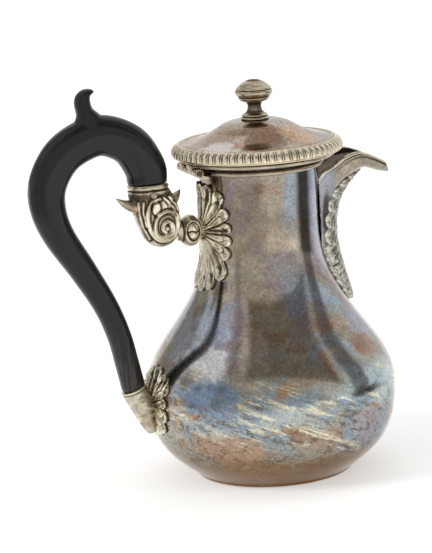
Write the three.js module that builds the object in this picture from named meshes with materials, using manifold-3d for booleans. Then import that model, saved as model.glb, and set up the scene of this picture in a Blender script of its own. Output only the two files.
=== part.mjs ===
// Baluster pitcher: a raised silver body with a beak spout, a hinged domed lid with a
// gadrooned border and a knop, and an ebonised wood handle in two cast sockets.
// Millimetres, +Z up. The origin is the centre of the flat base. The spout points along +X,
// the handle stands on the -X side, and the lid hinge runs parallel to Y.
// Outlines in the handle's plane are written as [distance behind the axis, height], so they
// read as positive numbers and are mirrored to -X when a piece is made.
import * as THREE from 'three';
import { mergeVertices } from 'three/addons/utils/BufferGeometryUtils.js';
import Module from 'manifold-3d';

const wasm = await Module();
wasm.setup();

// Body
const baseRadius = 34;
const baseEdge = 1.4;
const bellyRadius = 53.7;
const bellyHeight = 36.8;
const waistRadius = 24.75;
const waistHeight = 105.4;
const mouthRadius = 25.8;
const mouthHeight = 136.4;
const wall = 1.2;
const shoulderPull = 23;
const waistPull = 34;
const undersidePull = 23;
const undersideRise = 7.8;
const undersideShare = 0.5;

// Gaps that keep pieces apart
const seatGap = 0.3;
const runningGap = 0.08;

// Mouth moulding, an applied wire that stops on each side of the spout
const mouldingHeight = 3.6;
const mouldingReach = 2.3;
const mouldingGapAngle = 22;

// Spout from the neck to the tip: its rim and the keel under it, as [distance in front of the
// waist's wall, height], and its half width
const spoutLine = [
  { rim: [-4.8, 74], keel: [7.6, 74.7], half: 3.3 },
  { rim: [-4.6, 84], keel: [8.6, 81.8], half: 6.1 },
  { rim: [-4.5, 94], keel: [7.8, 90.9], half: 8.2 },
  { rim: [-4.4, 104], keel: [7.2, 101.5], half: 9.3 },
  { rim: [-4.3, 113], keel: [7.8, 110], half: 9.7 },
  { rim: [-3.2, 121], keel: [9.7, 117], half: 9.8 },
  { rim: [0.6, 127.2], keel: [13.6, 121.8], half: 9.8 },
  { rim: [5.6, 129.8], keel: [17.8, 124.8], half: 10.0 },
  { rim: [11.2, 133.2], keel: [22.4, 126.8], half: 10.1 },
  { rim: [17.4, 134.7], keel: [25.6, 126.0], half: 9.3 },
  { rim: [23.2, 133.1], keel: [29.0, 124.8], half: 8.0 },
  { rim: [28.8, 130.2], keel: [32.2, 124.0], half: 6.4 },
  { rim: [32.0, 128.4], keel: [34.2, 123.5], half: 5.0 },
];
const spoutWall = 1.2;
const channelFloor = 127;
const throatStation = 6;

// Acanthus leaf along the spout's keel, tip to beak, written in the same way
const spoutLeafLine = [
  { rim: [9.4, 69.6], keel: [15.5, 69.9], half: 0.8 },
  { rim: [5.6, 73.8], keel: [15.2, 73.4], half: 3.4 },
  { rim: [2.6, 79.9], keel: [14.0, 78.2], half: 5.4 },
  { rim: [-0.3, 88], keel: [12.2, 85.3], half: 6.6 },
  { rim: [-0.3, 98], keel: [9.9, 95.5], half: 6.4 },
  { rim: [-0.2, 107], keel: [9.5, 104.6], half: 6.6 },
  { rim: [1.0, 116], keel: [11.3, 113.0], half: 6.2 },
  { rim: [5.0, 122], keel: [14.6, 118.8], half: 5.2 },
  { rim: [10.2, 126], keel: [18.6, 123.2], half: 3.8 },
  { rim: [16.2, 128], keel: [22.2, 126.3], half: 1.2 },
];
const spoutLeafLobes = 6;
const spoutLeafLobeDepth = 0.16;

// Lid
const lidRadius = 36.7;
const lidBorderTop = 144.3;
const lidBorderBottom = 138.9;
const lidBorderWidth = 3.1;
const domeSheet = 1.0;
const domeTopHeight = 153.0;
const gadroonCount = 68;
const gadroonDepth = 0.55;
const seatRingBead = 0.9;
const seatRingThickness = 1.2;
const bezelDepth = 5.6;
const bezelSheet = 1.0;
const bezelGap = 0.7;
// Dome outline from the knop's seat to the brim, as [radius, height below the top]
const domeOutline = [
  [6.2, 0], [10.9, 0.5], [13.8, 1.4], [16, 2.6], [18.8, 4.3], [21.4, 5.7], [24, 7.0], [28, 8.1],
];
const brimDrop = 9.0;

// Knop, as [radius, height above the dome]
const knopOutline = [
  [5.8, 0], [6.0, 0.7], [5.3, 1.3], [5.2, 1.5], [5.0, 2.3], [3.6, 3.0], [2.9, 5.3], [3.3, 6.6], [5.4, 7.6],
  [6.4, 8.2], [6.1, 8.8], [7.6, 9.6], [8.1, 11.6], [7.7, 12.6], [7.2, 13.1], [7.0, 13.9], [5.6, 15.6],
  [3.0, 16.7],
];
const knopHeight = 17.0;
const knopScrewRadius = 1.5;
const knopScrewLength = 6.4;
const washerRadius = 5.0;
const washerThickness = 0.8;
const nutRadius = 3.4;
const nutThickness = 2.4;

// Lid hinge
const hingeBack = 30.6;
const hingeHeight = 134.5;
const hingeBarrelRadius = 1.9;
const hingePinRadius = 0.9;
const hingeWidth = 25.0;
const hingeKnuckles = 5;
const hingeSideGap = 0.3;
const bracketDepth = 5.1;
const bracketOverlap = 6.5;
const leafPlateBack = 2.9;
const leafPlateFront = 1.5;

// Handle seats: the upper one stands off the waist, the lower one off the belly
const upperSeatStand = 25.05;
const upperSeatHeight = 131.1;
const lowerSeatStand = 9.4;
const lowerSeatHeight = 44.4;

// Handle: centreline as [bow behind the straight line between its seats, height], with the
// thickness in its plane and across it
const handleBow = [
  [0, 131.1, 17.0, 13.8],
  [0.8, 138.1, 17.6, 14.2],
  [6.9, 148.1, 17.6, 14.5],
  [18.0, 153.4, 17.3, 14.4],
  [28.0, 151.7, 17.2, 14.2],
  [37.3, 145.8, 16.8, 13.7],
  [43.5, 135.4, 16.4, 13.4],
  [43.1, 124.8, 15.2, 12.8],
  [37.6, 113.1, 13.3, 11.9],
  [26.1, 97.4, 11.7, 11.0],
  [15.0, 81.1, 10.5, 10.3],
  [8.0, 67.3, 10.2, 10.0],
  [3.7, 55.1, 10.2, 10.0],
  [0, 44.4, 10.2, 10.0],
];
const handleSquareness = 2.3;

// Thumb curl on the crown of the handle, as distances behind the upper seat and heights: rear
// edge, front edge and half width, root to nose
const thumbCurl = [
  { rear: [30.9, 157.1], front: [16.1, 158.5], half: 6.2 },
  { rear: [29.1, 161.9], front: [19.1, 162.8], half: 5.3 },
  { rear: [29.2, 164.7], front: [21.9, 165.5], half: 4.7 },
  { rear: [29.6, 167.8], front: [22.6, 168.4], half: 4.3 },
  { rear: [28.6, 171.1], front: [22.7, 170.1], half: 3.9 },
  { rear: [26.1, 173.3], front: [22.3, 171.0], half: 3.4 },
  { rear: [23.2, 173.8], front: [21.7, 171.3], half: 2.9 },
  { rear: [20.8, 173.0], front: [21.1, 171.6], half: 1.9 },
];

// Upper socket: a cast cup that curls under into volutes, as height, rear and front measured
// from the seat's middle, and half width
const upperSocketLevels = [
  [103.5, -2.7, -5.8, 2.4],
  [104.5, 0.3, -8.9, 4.5],
  [107.0, 2.8, -11.4, 5.7],
  [110.5, 4.7, -12.6, 6.2],
  [116.9, 6.9, -13.3, 6.7],
  [122.0, 8.2, -12.4, 7.2],
  [125.9, 8.8, -10.6, 7.5],
  [128.8, 8.8, -9.1, 7.6],
  [130.8, 8.5, -8.5, 7.5],
];
const upperTenonRadius = 4.7;
const upperTenonLength = 8.7;
const upperPinHeight = 126.8;
const handlePinRadius = 0.9;
const pinHeadStand = 0.4;
const voluteBack = -5.0;
const voluteHeight = 113.1;
const voluteRadius = 5.0;
const voluteTurns = 1.6;
const voluteWire = 1.0;
const voluteProud = 0.4;
// Leaf tips of the cup: root, bend and tip as [distance behind the seat's middle, height]
const rearSpike = { root: [6.9, 122.6], bend: [10.7, 123.7], tip: [14.2, 126.0], half: 3.4, thick: 1.9 };
const frontSpike = { root: [-9.9, 122.9], bend: [-12.3, 124.8], tip: [-14.2, 126.7], half: 2.8, thick: 1.5 };

// Knuckle between the cup and the neck
const knuckleHeight = 108.7;
const knuckleOutline = [[0, 3.6], [1.6, 5.6], [4.2, 6.9], [6.6, 5.7], [8.6, 4.0]];
const knuckleFlatness = 0.85;

// Leaf plate on the neck
const neckPlate = { height: 107.5, up: 24, down: 26.5, side: 19.5, lobes: 14, thick: 0.9, relief: 1.6, heart: 2.2 };

// Lower socket: centre [distance behind the belly's wall, height] and radius, from the collar
// down to the tail
const lowerSocketLine = [
  [9.3, 44.0, 5.7],
  [6.6, 39.6, 5.6],
  [4.4, 34.9, 5.3],
  [2.9, 29.8, 4.5],
  [2.4, 25.3, 3.0],
];
const lowerTenonRadius = 2.9;
const lowerTenonLength = 7.0;
const lowerPinDepth = 4.8;
const bellyPlate = { height: 36, up: 15.5, down: 14, side: 14.5, lobes: 8, thick: 0.9, relief: 0.7, heart: 0.0 };

const silver = new THREE.MeshStandardMaterial({ color: 0x8d8378, roughness: 0.3, metalness: 1 });
const coppery = new THREE.MeshStandardMaterial({ color: 0xa08a7c, roughness: 0.3, metalness: 1 });
const cast = new THREE.MeshStandardMaterial({ color: 0xb9ae8f, roughness: 0.35, metalness: 1 });
const ebonised = new THREE.MeshStandardMaterial({ color: 0x141210, roughness: 0.25, metalness: 0 });

const radians = THREE.MathUtils.degToRad;

// Facets around the turned pieces, and around the small ones
const turnFacets = 36;
const smallFacets = 18;
const pinFacets = 12;

// Any closed BufferGeometry as a manifold solid with its faces pointing out
function solidFrom(geometry) {
  const bare = new THREE.BufferGeometry();
  bare.setAttribute('position', geometry.getAttribute('position'));
  if (geometry.index) bare.setIndex(geometry.index);
  const merged = mergeVertices(bare, 1e-4);
  const position = merged.getAttribute('position');
  const index = merged.index.array;
  const corners = [];
  let volume = 0;
  const [a, b, c] = [new THREE.Vector3(), new THREE.Vector3(), new THREE.Vector3()];
  for (let i = 0; i < index.length; i += 3) {
    const [p, q, r] = [index[i], index[i + 1], index[i + 2]];
    if (p === q || q === r || r === p) continue;
    corners.push([p, q, r]);
    a.fromBufferAttribute(position, p);
    b.fromBufferAttribute(position, q);
    c.fromBufferAttribute(position, r);
    volume += a.dot(b.cross(c));
  }
  const triVerts = Uint32Array.from(corners.flatMap(([p, q, r]) => (volume < 0 ? [p, r, q] : [p, q, r])));
  const vertProperties = Float32Array.from(position.array);
  return new wasm.Manifold(new wasm.Mesh({ numProp: 3, vertProperties, triVerts }));
}

function meshFrom(name, solid, material) {
  const { vertProperties, triVerts } = solid.getMesh();
  const geometry = new THREE.BufferGeometry();
  geometry.setAttribute('position', new THREE.BufferAttribute(Float32Array.from(vertProperties), 3));
  geometry.setIndex(new THREE.BufferAttribute(Uint32Array.from(triVerts), 1));
  const mesh = new THREE.Mesh(geometry, material);
  mesh.name = name;
  return mesh;
}

// A closed outline of [radius, height] turned about Z
function revolve(outline, segments) {
  const lathe = new THREE.LatheGeometry(outline.map(([r, z]) => new THREE.Vector2(r, z)), segments);
  return solidFrom(lathe.rotateX(Math.PI / 2));
}

// Closed loops of points joined side by side, with a fan over each end
function loft(loops) {
  const count = loops[0].length;
  const points = loops.flat();
  const index = [];
  for (let i = 0; i + 1 < loops.length; i += 1) {
    for (let j = 0; j < count; j += 1) {
      const next = (j + 1) % count;
      const [p, q, r, s] = [i * count + j, i * count + next, (i + 1) * count + j, (i + 1) * count + next];
      index.push(p, q, s, p, s, r);
    }
  }
  const capLoop = (loop, offset, flip) => {
    const centre = loop.reduce((sum, p) => sum.add(p), new THREE.Vector3()).divideScalar(count);
    points.push(centre);
    for (let j = 0; j < count; j += 1) {
      const [p, q] = [offset + j, offset + ((j + 1) % count)];
      index.push(...(flip ? [points.length - 1, q, p] : [points.length - 1, p, q]));
    }
  };
  capLoop(loops[0], 0, true);
  capLoop(loops.at(-1), (loops.length - 1) * count, false);
  const geometry = new THREE.BufferGeometry().setFromPoints(points);
  geometry.setIndex(index);
  return solidFrom(geometry);
}

// A straight round bar between two points
function bar(from, to, radius, segments = pinFacets) {
  const along = new THREE.Vector3().subVectors(to, from);
  const geometry = new THREE.CylinderGeometry(radius, radius, along.length(), segments);
  geometry.translate(0, along.length() / 2, 0);
  geometry.applyQuaternion(new THREE.Quaternion().setFromUnitVectors(new THREE.Vector3(0, 1, 0), along.normalize()));
  return solidFrom(geometry.translate(from.x, from.y, from.z));
}

function block([x0, y0, z0], [x1, y1, z1]) {
  const geometry = new THREE.BoxGeometry(x1 - x0, y1 - y0, z1 - z0);
  return solidFrom(geometry.translate((x0 + x1) / 2, (y0 + y1) / 2, (z0 + z1) / 2));
}

const behind = ([back, height], y = 0) => new THREE.Vector3(-back, y, height);

// Body outline: a flat base, a belly and a waist, joined by two Bezier curves
const undersideCurve = new THREE.CubicBezierCurve(
  new THREE.Vector2(baseRadius, baseEdge),
  new THREE.Vector2(baseRadius + undersideShare * (bellyRadius - baseRadius), baseEdge + undersideRise),
  new THREE.Vector2(bellyRadius, bellyHeight - undersidePull),
  new THREE.Vector2(bellyRadius, bellyHeight),
);
const shoulderCurve = new THREE.CubicBezierCurve(
  new THREE.Vector2(bellyRadius, bellyHeight),
  new THREE.Vector2(bellyRadius, bellyHeight + shoulderPull),
  new THREE.Vector2(waistRadius, waistHeight - waistPull),
  new THREE.Vector2(waistRadius, waistHeight),
);
const neckCurve = new THREE.QuadraticBezierCurve(
  new THREE.Vector2(waistRadius, waistHeight),
  new THREE.Vector2(waistRadius, (waistHeight + mouthHeight) / 2),
  new THREE.Vector2(mouthRadius, mouthHeight),
);

function bodyOutline(steps) {
  return [
    ...undersideCurve.getPoints(steps),
    ...shoulderCurve.getPoints(2 * steps).slice(1),
    ...neckCurve.getPoints(Math.ceil(steps / 2)).slice(1),
  ];
}

const fineOutline = bodyOutline(60);

function bodyRadiusAt(height) {
  const upper = fineOutline.findIndex((p) => p.y >= height);
  if (upper <= 0) return upper === 0 ? baseRadius : mouthRadius;
  const [low, high] = [fineOutline[upper - 1], fineOutline[upper]];
  return THREE.MathUtils.mapLinear(height, low.y, high.y, low.x, high.x);
}

// The measured lists as places: each is set by the wall or the seat that it stands off
const inFrontOfWaist = (stations) => stations.map(({ rim, keel, half }) => (
  { rim: [waistRadius + rim[0], rim[1]], keel: [waistRadius + keel[0], keel[1]], half }));
const spoutStations = inFrontOfWaist(spoutLine);
const spoutLeafStations = inFrontOfWaist(spoutLeafLine);
const upperSeatBack = waistRadius + upperSeatStand;
const lowerSeatBack = bodyRadiusAt(lowerSeatHeight) + lowerSeatStand;
const handleLine = handleBow.map(([bow, height, inPlane, across]) => {
  const share = THREE.MathUtils.clamp((upperSeatHeight - height) / (upperSeatHeight - lowerSeatHeight), 0, 1);
  return [bow + THREE.MathUtils.lerp(upperSeatBack, lowerSeatBack, share), height, inPlane, across];
});
const lowerSocketStations = lowerSocketLine.map(([stand, height, radius]) => (
  [bodyRadiusAt(height) + stand, height, radius]));
const fromUpperSeat = ([back, height]) => behind([upperSeatBack + back, height]);

// The same outline moved in or out along its own normal
function movedOutline(offset, steps) {
  const points = bodyOutline(steps);
  return points.map((point, i) => {
    const before = points[Math.max(i - 1, 0)];
    const after = points[Math.min(i + 1, points.length - 1)];
    const along = new THREE.Vector2().subVectors(after, before).normalize();
    return [point.x + along.y * offset, point.y - along.x * offset];
  });
}

// The body as a filled form grown by an offset, used to seat whatever lies on it
function bodyForm(offset, steps = 12, segments = 72) {
  const outline = movedOutline(offset, steps);
  const [topRadius] = outline.at(-1);
  return revolve([[0, -offset - 1], [outline[0][0], -offset - 1], ...outline,
    [topRadius, mouthHeight + 10], [0, mouthHeight + 10]], segments);
}

// Spout form: a filled U section from rim to keel at each station, grown by an offset
function spoutForm(stations, offset, { lift = 0, steps = 8, lobes = 0, lobeDepth = 0, runOut = 0 } = {}) {
  const curve = (pick) => new THREE.CatmullRomCurve3(
    stations.map((s) => new THREE.Vector3(...pick(s))), false, 'centripetal');
  const rims = curve((s) => [s.rim[0], 0, s.rim[1]]);
  const keels = curve((s) => [s.keel[0], s.half, s.keel[1]]);
  const loopCount = 2 * (stations.length - 1);
  const loops = [];
  for (let i = 0; i <= loopCount; i += 1) {
    const t = i / loopCount;
    const rim = rims.getPoint(t);
    const keel = keels.getPoint(t);
    const lobe = 1 - lobeDepth * Math.abs(Math.sin(Math.PI * lobes * t));
    const half = (keel.y + offset) * lobe;
    const down = new THREE.Vector3(keel.x - rim.x, 0, keel.z - rim.z);
    const depth = down.length() + offset;
    down.normalize();
    const section = [];
    for (let j = 0; j <= steps; j += 1) {
      const angle = Math.PI * (j / steps - 0.5);
      section.push(new THREE.Vector3(
        rim.x + down.x * depth * Math.cos(angle), half * Math.sin(angle), rim.z + down.z * depth * Math.cos(angle)));
    }
    if (lift > 0) {
      section.push(section.at(-1).clone().addScaledVector(down, -lift));
      section.push(section[0].clone().addScaledVector(down, -lift));
    }
    loops.push(section);
  }
  if (runOut > 0) {
    const ahead = new THREE.Vector3().subVectors(loops.at(-1)[0], loops.at(-2)[0]).setY(0).setLength(runOut);
    loops.push(loops.at(-1).map((p) => p.clone().add(ahead)));
  }
  return loft(loops);
}

// A leaf plate laid on the body at the back: radial lobes with ribs, on the body's own curve
function leafPlate(plate, spokesPerLobe = 4, rings = 4) {
  const spokes = plate.lobes * spokesPerLobe;
  const up = Math.min(plate.up, bracketBottom - 2 * seatGap - plate.height);
  const place = (share, angle, raise) => {
    const lobe = Math.abs(Math.cos((plate.lobes * angle) / 2));
    const tall = Math.sin(angle) > 0 ? up : plate.down;
    const reach = 1 / Math.hypot(Math.cos(angle) / plate.side, Math.sin(angle) / tall);
    const edge = reach * (1 - 0.2 * (1 - lobe ** 0.7) * share);
    const height = plate.height + share * edge * Math.sin(angle);
    const radius = bodyRadiusAt(height);
    const turn = (share * edge * Math.cos(angle)) / radius;
    const rib = plate.relief * lobe * Math.sin(Math.PI * Math.min(share * 0.85 + 0.1, 1));
    const heart = plate.heart * Math.max(0, 1 - share * 3);
    const out = radius + seatGap + (raise ? plate.thick + rib + heart : 0);
    return new THREE.Vector3(-out * Math.cos(turn), out * Math.sin(turn), height);
  };
  const loops = [];
  for (let ring = 1; ring <= rings; ring += 1) {
    const angles = Array.from({ length: spokes }, (_, j) => (2 * Math.PI * j) / spokes);
    const share = ring / rings;
    loops.push(angles.map((angle) => place(share, angle, true)));
  }
  for (let ring = rings; ring >= 1; ring -= 1) {
    const angles = Array.from({ length: spokes }, (_, j) => (2 * Math.PI * j) / spokes);
    loops.push(angles.map((angle) => place(ring / rings, angle, false)));
  }
  return loft(loops);
}

// A swept oval whose loops stand square to a line in the handle's plane
function ovalLoop(centre, inPlane, halfInPlane, halfAcross, steps, power = 2) {
  const round = (value) => Math.sign(value) * Math.abs(value) ** (2 / power);
  return Array.from({ length: steps }, (_, j) => {
    const angle = (2 * Math.PI * j) / steps;
    const point = centre.clone().addScaledVector(inPlane, halfInPlane * round(Math.cos(angle)));
    point.y += halfAcross * round(Math.sin(angle));
    return point;
  });
}

function makeBodyShell() {
  const outer = movedOutline(0, 6);
  const inner = movedOutline(-wall, 4).filter(([, z]) => z > wall);
  const outline = [[0, 0], [baseRadius - baseEdge, 0], ...outer, ...inner.reverse(), [0, wall]];
  const shell = revolve(outline, turnFacets);
  const channel = spoutForm(spoutStations, -spoutWall);
  const slotHalf = spoutStations[Math.round(throatStation)].half - spoutWall;
  const slot = block([0, -slotHalf, channelFloor], [mouthRadius + 5, slotHalf, mouthHeight + 1]);
  return shell.subtract(channel).subtract(slot);
}

const mouldingBottom = mouthHeight - mouldingHeight;

function makeRimMoulding() {
  const inner = mouthRadius + seatGap;
  const outer = inner + mouldingReach;
  const top = mouthHeight;
  // Each point as shares of the moulding's reach and height
  const outline = [
    [0, 0], [0.6, 0], [1, 0.22], [0.9, 0.5], [0.4, 0.66], [0.3, 0.8], [0.6, 1], [0, 1], [0, 0],
  ].map(([out, up]) => [inner + out * mouldingReach, mouldingBottom + up * mouldingHeight]);
  const ring = revolve(outline, turnFacets);
  const reach = 2 * outer;
  const spread = reach * Math.tan(radians(mouldingGapAngle));
  const wedge = new THREE.Shape([new THREE.Vector2(0, 0), new THREE.Vector2(reach, -spread),
    new THREE.Vector2(reach, spread)]);
  const gap = new THREE.ExtrudeGeometry(wedge, { depth: 20, bevelEnabled: false });
  return ring.subtract(solidFrom(gap.translate(0, 0, mouldingBottom - 5)));
}

function makeSpout() {
  const outer = spoutForm(spoutStations, 0);
  const channel = spoutForm(spoutStations, -spoutWall, { lift: 6, runOut: 4 });
  return outer.subtract(channel).subtract(bodyForm(seatGap));
}

function makeSpoutLeaf() {
  const leaf = spoutForm(spoutLeafStations, 0, { lobes: spoutLeafLobes, lobeDepth: spoutLeafLobeDepth });
  return leaf.subtract(spoutForm(spoutStations, seatGap)).subtract(bodyForm(seatGap));
}

function upperSocketForm(offset) {
  return loft(upperSocketLevels.map(([z, rear, front, half]) => ovalLoop(fromUpperSeat([(rear + front) / 2, z]),
    new THREE.Vector3(1, 0, 0), (rear - front) / 2 + offset, half + offset, 20, handleSquareness)));
}

function makeUpperSocket() {
  let socket = upperSocketForm(0);
  const [, , , flank] = upperSocketLevels[4];
  for (const side of [-1, 1]) {
    const turns = [];
    const steps = 14;
    for (let i = 0; i <= steps; i += 1) {
      const share = i / steps;
      const angle = Math.PI / 2 + 2 * Math.PI * voluteTurns * share;
      const reach = voluteRadius * (1 - 0.78 * share);
      const centre = fromUpperSeat([voluteBack - reach * Math.cos(angle), voluteHeight + reach * Math.sin(angle)]);
      centre.y = side * (flank - voluteWire + voluteProud);
      const outward = new THREE.Vector3(Math.cos(angle), 0, Math.sin(angle));
      const wire = voluteWire * (1 - 0.4 * share);
      turns.push(ovalLoop(centre, outward, wire, voluteWire * 1.3, 5));
    }
    socket = socket.add(loft(turns));
  }
  for (const spike of [rearSpike, frontSpike]) {
    const line = new THREE.QuadraticBezierCurve3(...[spike.root, spike.bend, spike.tip].map(fromUpperSeat));
    const loopsAlong = [];
    for (let i = 0; i <= 4; i += 1) {
      const share = i / 4;
      const centre = line.getPoint(share);
      const along = line.getTangent(share);
      const acrossPlane = new THREE.Vector3(-along.z, 0, along.x);
      const taper = 1 - 0.88 * share ** 1.4;
      loopsAlong.push(ovalLoop(centre, acrossPlane, spike.thick * taper, spike.half * taper, 8));
    }
    socket = socket.add(loft(loopsAlong));
  }
  const [top] = upperSocketLevels.at(-1);
  const mouth = fromUpperSeat([0, top + 1]);
  const floor = fromUpperSeat([0, upperSeatHeight - upperTenonLength - seatGap]);
  const pinHole = handlePinHole(upperSeatBack, upperPinHeight);
  return socket.subtract(bar(mouth, floor, upperTenonRadius + seatGap)).subtract(pinHole);
}

function handlePinHole(back, height) {
  return bar(behind([back, height], -20), behind([back, height], 20), handlePinRadius + seatGap / 2);
}

function handlePin(back, height, half) {
  return bar(behind([back, height], -half - pinHeadStand), behind([back, height], half + pinHeadStand),
    handlePinRadius);
}

const lowerAxis = new THREE.Vector3().subVectors(behind(lowerSocketStations[1]), behind(lowerSocketStations[0])).normalize();
const lowerCollar = behind(lowerSocketStations[0]);
const lowerPinCentre = lowerCollar.clone().addScaledVector(lowerAxis, lowerPinDepth);

function makeHandle() {
  const line = new THREE.CatmullRomCurve3(handleLine.map(([back, height]) => behind([back, height])), false, 'centripetal');
  const sizes = new THREE.CatmullRomCurve3(
    handleLine.map(([, , inPlane, across]) => new THREE.Vector3(inPlane / 2, across / 2, 0)), false, 'centripetal');
  const steps = 2 * (handleLine.length - 1);
  const loops = [];
  for (let i = 0; i <= steps; i += 1) {
    const along = line.getTangent(i / steps);
    if (i === 0) along.set(0, 0, 1);
    if (i === steps) along.copy(lowerAxis);
    const size = sizes.getPoint(i / steps);
    const acrossPlane = new THREE.Vector3(-along.z, 0, along.x);
    loops.push(ovalLoop(line.getPoint(i / steps), acrossPlane, size.x, size.y, 16, handleSquareness));
  }
  const curl = thumbCurl.map(({ rear, front, half }) => {
    const [a, b] = [fromUpperSeat(rear), fromUpperSeat(front)];
    const centre = a.clone().add(b).divideScalar(2);
    const chord = b.clone().sub(a);
    return ovalLoop(centre, chord.clone().normalize(), chord.length() / 2, half, 12);
  });
  const top = behind(handleLine[0]);
  const bottom = behind(handleLine.at(-1));
  const upperTenon = bar(top.clone().add(new THREE.Vector3(0, 0, 4)),
    fromUpperSeat([0, upperSeatHeight - upperTenonLength]), upperTenonRadius);
  const lowerTenon = bar(bottom.clone().addScaledVector(lowerAxis, -4),
    bottom.clone().addScaledVector(lowerAxis, lowerTenonLength), lowerTenonRadius);
  return loft(loops).add(loft(curl)).add(upperTenon).add(lowerTenon)
    .subtract(handlePinHole(upperSeatBack, upperPinHeight))
    .subtract(handlePinHole(-lowerPinCentre.x, lowerPinCentre.z));
}

function makeLowerSocket() {
  const loops = lowerSocketStations.map(([back, height, radius], i) => {
    const before = behind(lowerSocketStations[Math.max(i - 1, 0)]);
    const after = behind(lowerSocketStations[Math.min(i + 1, lowerSocketStations.length - 1)]);
    const along = after.sub(before).normalize();
    return ovalLoop(behind([back, height]), new THREE.Vector3(-along.z, 0, along.x), radius, radius, 16);
  });
  const cavity = bar(lowerCollar.clone().addScaledVector(lowerAxis, -2),
    lowerCollar.clone().addScaledVector(lowerAxis, lowerTenonLength + seatGap), lowerTenonRadius + seatGap);
  const seat = seatGap + bellyPlate.thick + bellyPlate.relief + bellyPlate.heart + seatGap;
  return loft(loops).subtract(cavity).subtract(bodyForm(seat))
    .subtract(handlePinHole(-lowerPinCentre.x, lowerPinCentre.z));
}

function makeKnuckle() {
  const neck = bodyRadiusAt(knuckleHeight) + 2 * seatGap + neckPlate.thick + neckPlate.heart + neckPlate.relief * 0.3;
  const lathe = new THREE.LatheGeometry([
    new THREE.Vector2(0, knuckleOutline[0][0]),
    ...knuckleOutline.map(([along, radius]) => new THREE.Vector2(radius, along)),
    new THREE.Vector2(0, knuckleOutline.at(-1)[0]),
  ], smallFacets);
  lathe.scale(knuckleFlatness, 1, 1).rotateZ(Math.PI / 2).rotateX(Math.PI / 2);
  lathe.translate(-neck, 0, knuckleHeight);
  return solidFrom(lathe).subtract(upperSocketForm(seatGap));
}

// Hinge knuckles share the barrel in equal lengths, the body's at each end and in the middle
const knuckleLength = hingeWidth / hingeKnuckles;
const knuckleSpans = Array.from({ length: hingeKnuckles }, (_, i) => {
  const start = -hingeWidth / 2 + i * knuckleLength;
  return { owner: i % 2 === 0 ? 'body' : 'lid', from: start + hingeSideGap / 2, to: start + knuckleLength - hingeSideGap / 2 };
});
const barrelAt = (from, to, radius, segments = 16) => bar(
  behind([hingeBack, hingeHeight], from), behind([hingeBack, hingeHeight], to), radius, segments);

function hingeSide(owner, plate) {
  let piece = plate;
  for (const span of knuckleSpans) {
    if (span.owner === owner) piece = piece.add(barrelAt(span.from, span.to, hingeBarrelRadius));
    else {
      const room = hingeBarrelRadius + seatGap;
      const [from, to] = [span.from - hingeSideGap, span.to + hingeSideGap];
      piece = piece.subtract(barrelAt(from, to, room));
      const [low, high] = owner === 'body' ? [hingeHeight, hingeHeight + 2 * room] : [hingeHeight - 2 * room, hingeHeight];
      piece = piece.subtract(block([-hingeBack - room, from, low], [-hingeBack + room, to, high]));
    }
  }
  return piece.subtract(barrelAt(-hingeWidth, hingeWidth, hingePinRadius + runningGap));
}

const mouldingOuter = mouthRadius + seatGap + mouldingReach;
const bracketBottom = hingeHeight - bracketDepth;

function makeHingeBracket() {
  const half = hingeWidth / 2 - hingeSideGap / 2;
  const plate = block([-hingeBack, -half, bracketBottom], [-hingeBack + bracketOverlap, half, hingeHeight]);
  const moulding = revolve([[0, mouldingBottom - seatGap], [mouldingOuter + seatGap, mouldingBottom - seatGap],
    [mouldingOuter + seatGap, hingeHeight + 5], [0, hingeHeight + 5]], 2 * turnFacets);
  return hingeSide('body', plate.subtract(moulding).subtract(bodyForm(seatGap)));
}

const seatRingTop = mouthHeight + seatGap + seatRingThickness;

// The lid's hinge leaf rises from its knuckles into a notch in the seat ring
function hingeLeafBlock(grow) {
  const [first, last] = [knuckleSpans[1], knuckleSpans.at(-2)];
  return block([-hingeBack - leafPlateBack - grow, first.from - grow, hingeHeight],
    [-hingeBack + leafPlateFront + grow, last.to + grow, seatRingTop + grow]);
}

function makeLidHingeLeaf() {
  return hingeSide('lid', hingeLeafBlock(0));
}

function makeLidDome() {
  const brim = lidRadius - lidBorderWidth - seatGap;
  const top = domeOutline.map(([r, drop]) => [r, domeTopHeight - drop]);
  const outer = [[knopScrewRadius + seatGap, domeTopHeight], ...top, [brim, domeTopHeight - brimDrop]];
  const sparse = outer.filter((_, i) => i !== 3 && i !== 5);
  const inner = sparse.map(([r, z]) => [r, z - domeSheet]).reverse();
  const skirt = [[brim, seatRingTop + seatGap], [brim - domeSheet, seatRingTop + seatGap]];
  inner[0] = [brim - domeSheet, domeTopHeight - brimDrop - domeSheet * 0.6];
  return revolve([...outer, ...skirt, ...inner, outer[0]], turnFacets);
}

function makeLidBorder() {
  const inner = lidRadius - lidBorderWidth;
  const [low, high] = [lidBorderBottom, lidBorderTop];
  const section = [
    [inner, high, 0], [lidRadius - 0.7, high - 1.5, 1], [lidRadius, (low + high) / 2 - 0.4, 1],
    [lidRadius - 0.6, low, 0.4], [inner, low, 0],
  ];
  const phases = [0, 0.5];
  const loops = [];
  for (let i = 0; i < gadroonCount; i += 1) {
    for (const phase of phases) {
      const turn = (2 * Math.PI * (i + phase)) / gadroonCount;
      const dip = phase === 0 ? gadroonDepth : 0;
      loops.push(section.map(([r, z, share]) => new THREE.Vector3(
        (r - dip * share) * Math.cos(turn), (r - dip * share) * Math.sin(turn), z)));
    }
  }
  const count = section.length;
  const index = [];
  for (let i = 0; i < loops.length; i += 1) {
    const following = (i + 1) % loops.length;
    for (let j = 0; j < count; j += 1) {
      const next = (j + 1) % count;
      const [p, q] = [i * count + j, i * count + next];
      const [r, s] = [following * count + j, following * count + next];
      index.push(p, q, s, p, s, r);
    }
  }
  const geometry = new THREE.BufferGeometry().setFromPoints(loops.flat());
  geometry.setIndex(index);
  return solidFrom(geometry);
}

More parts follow.
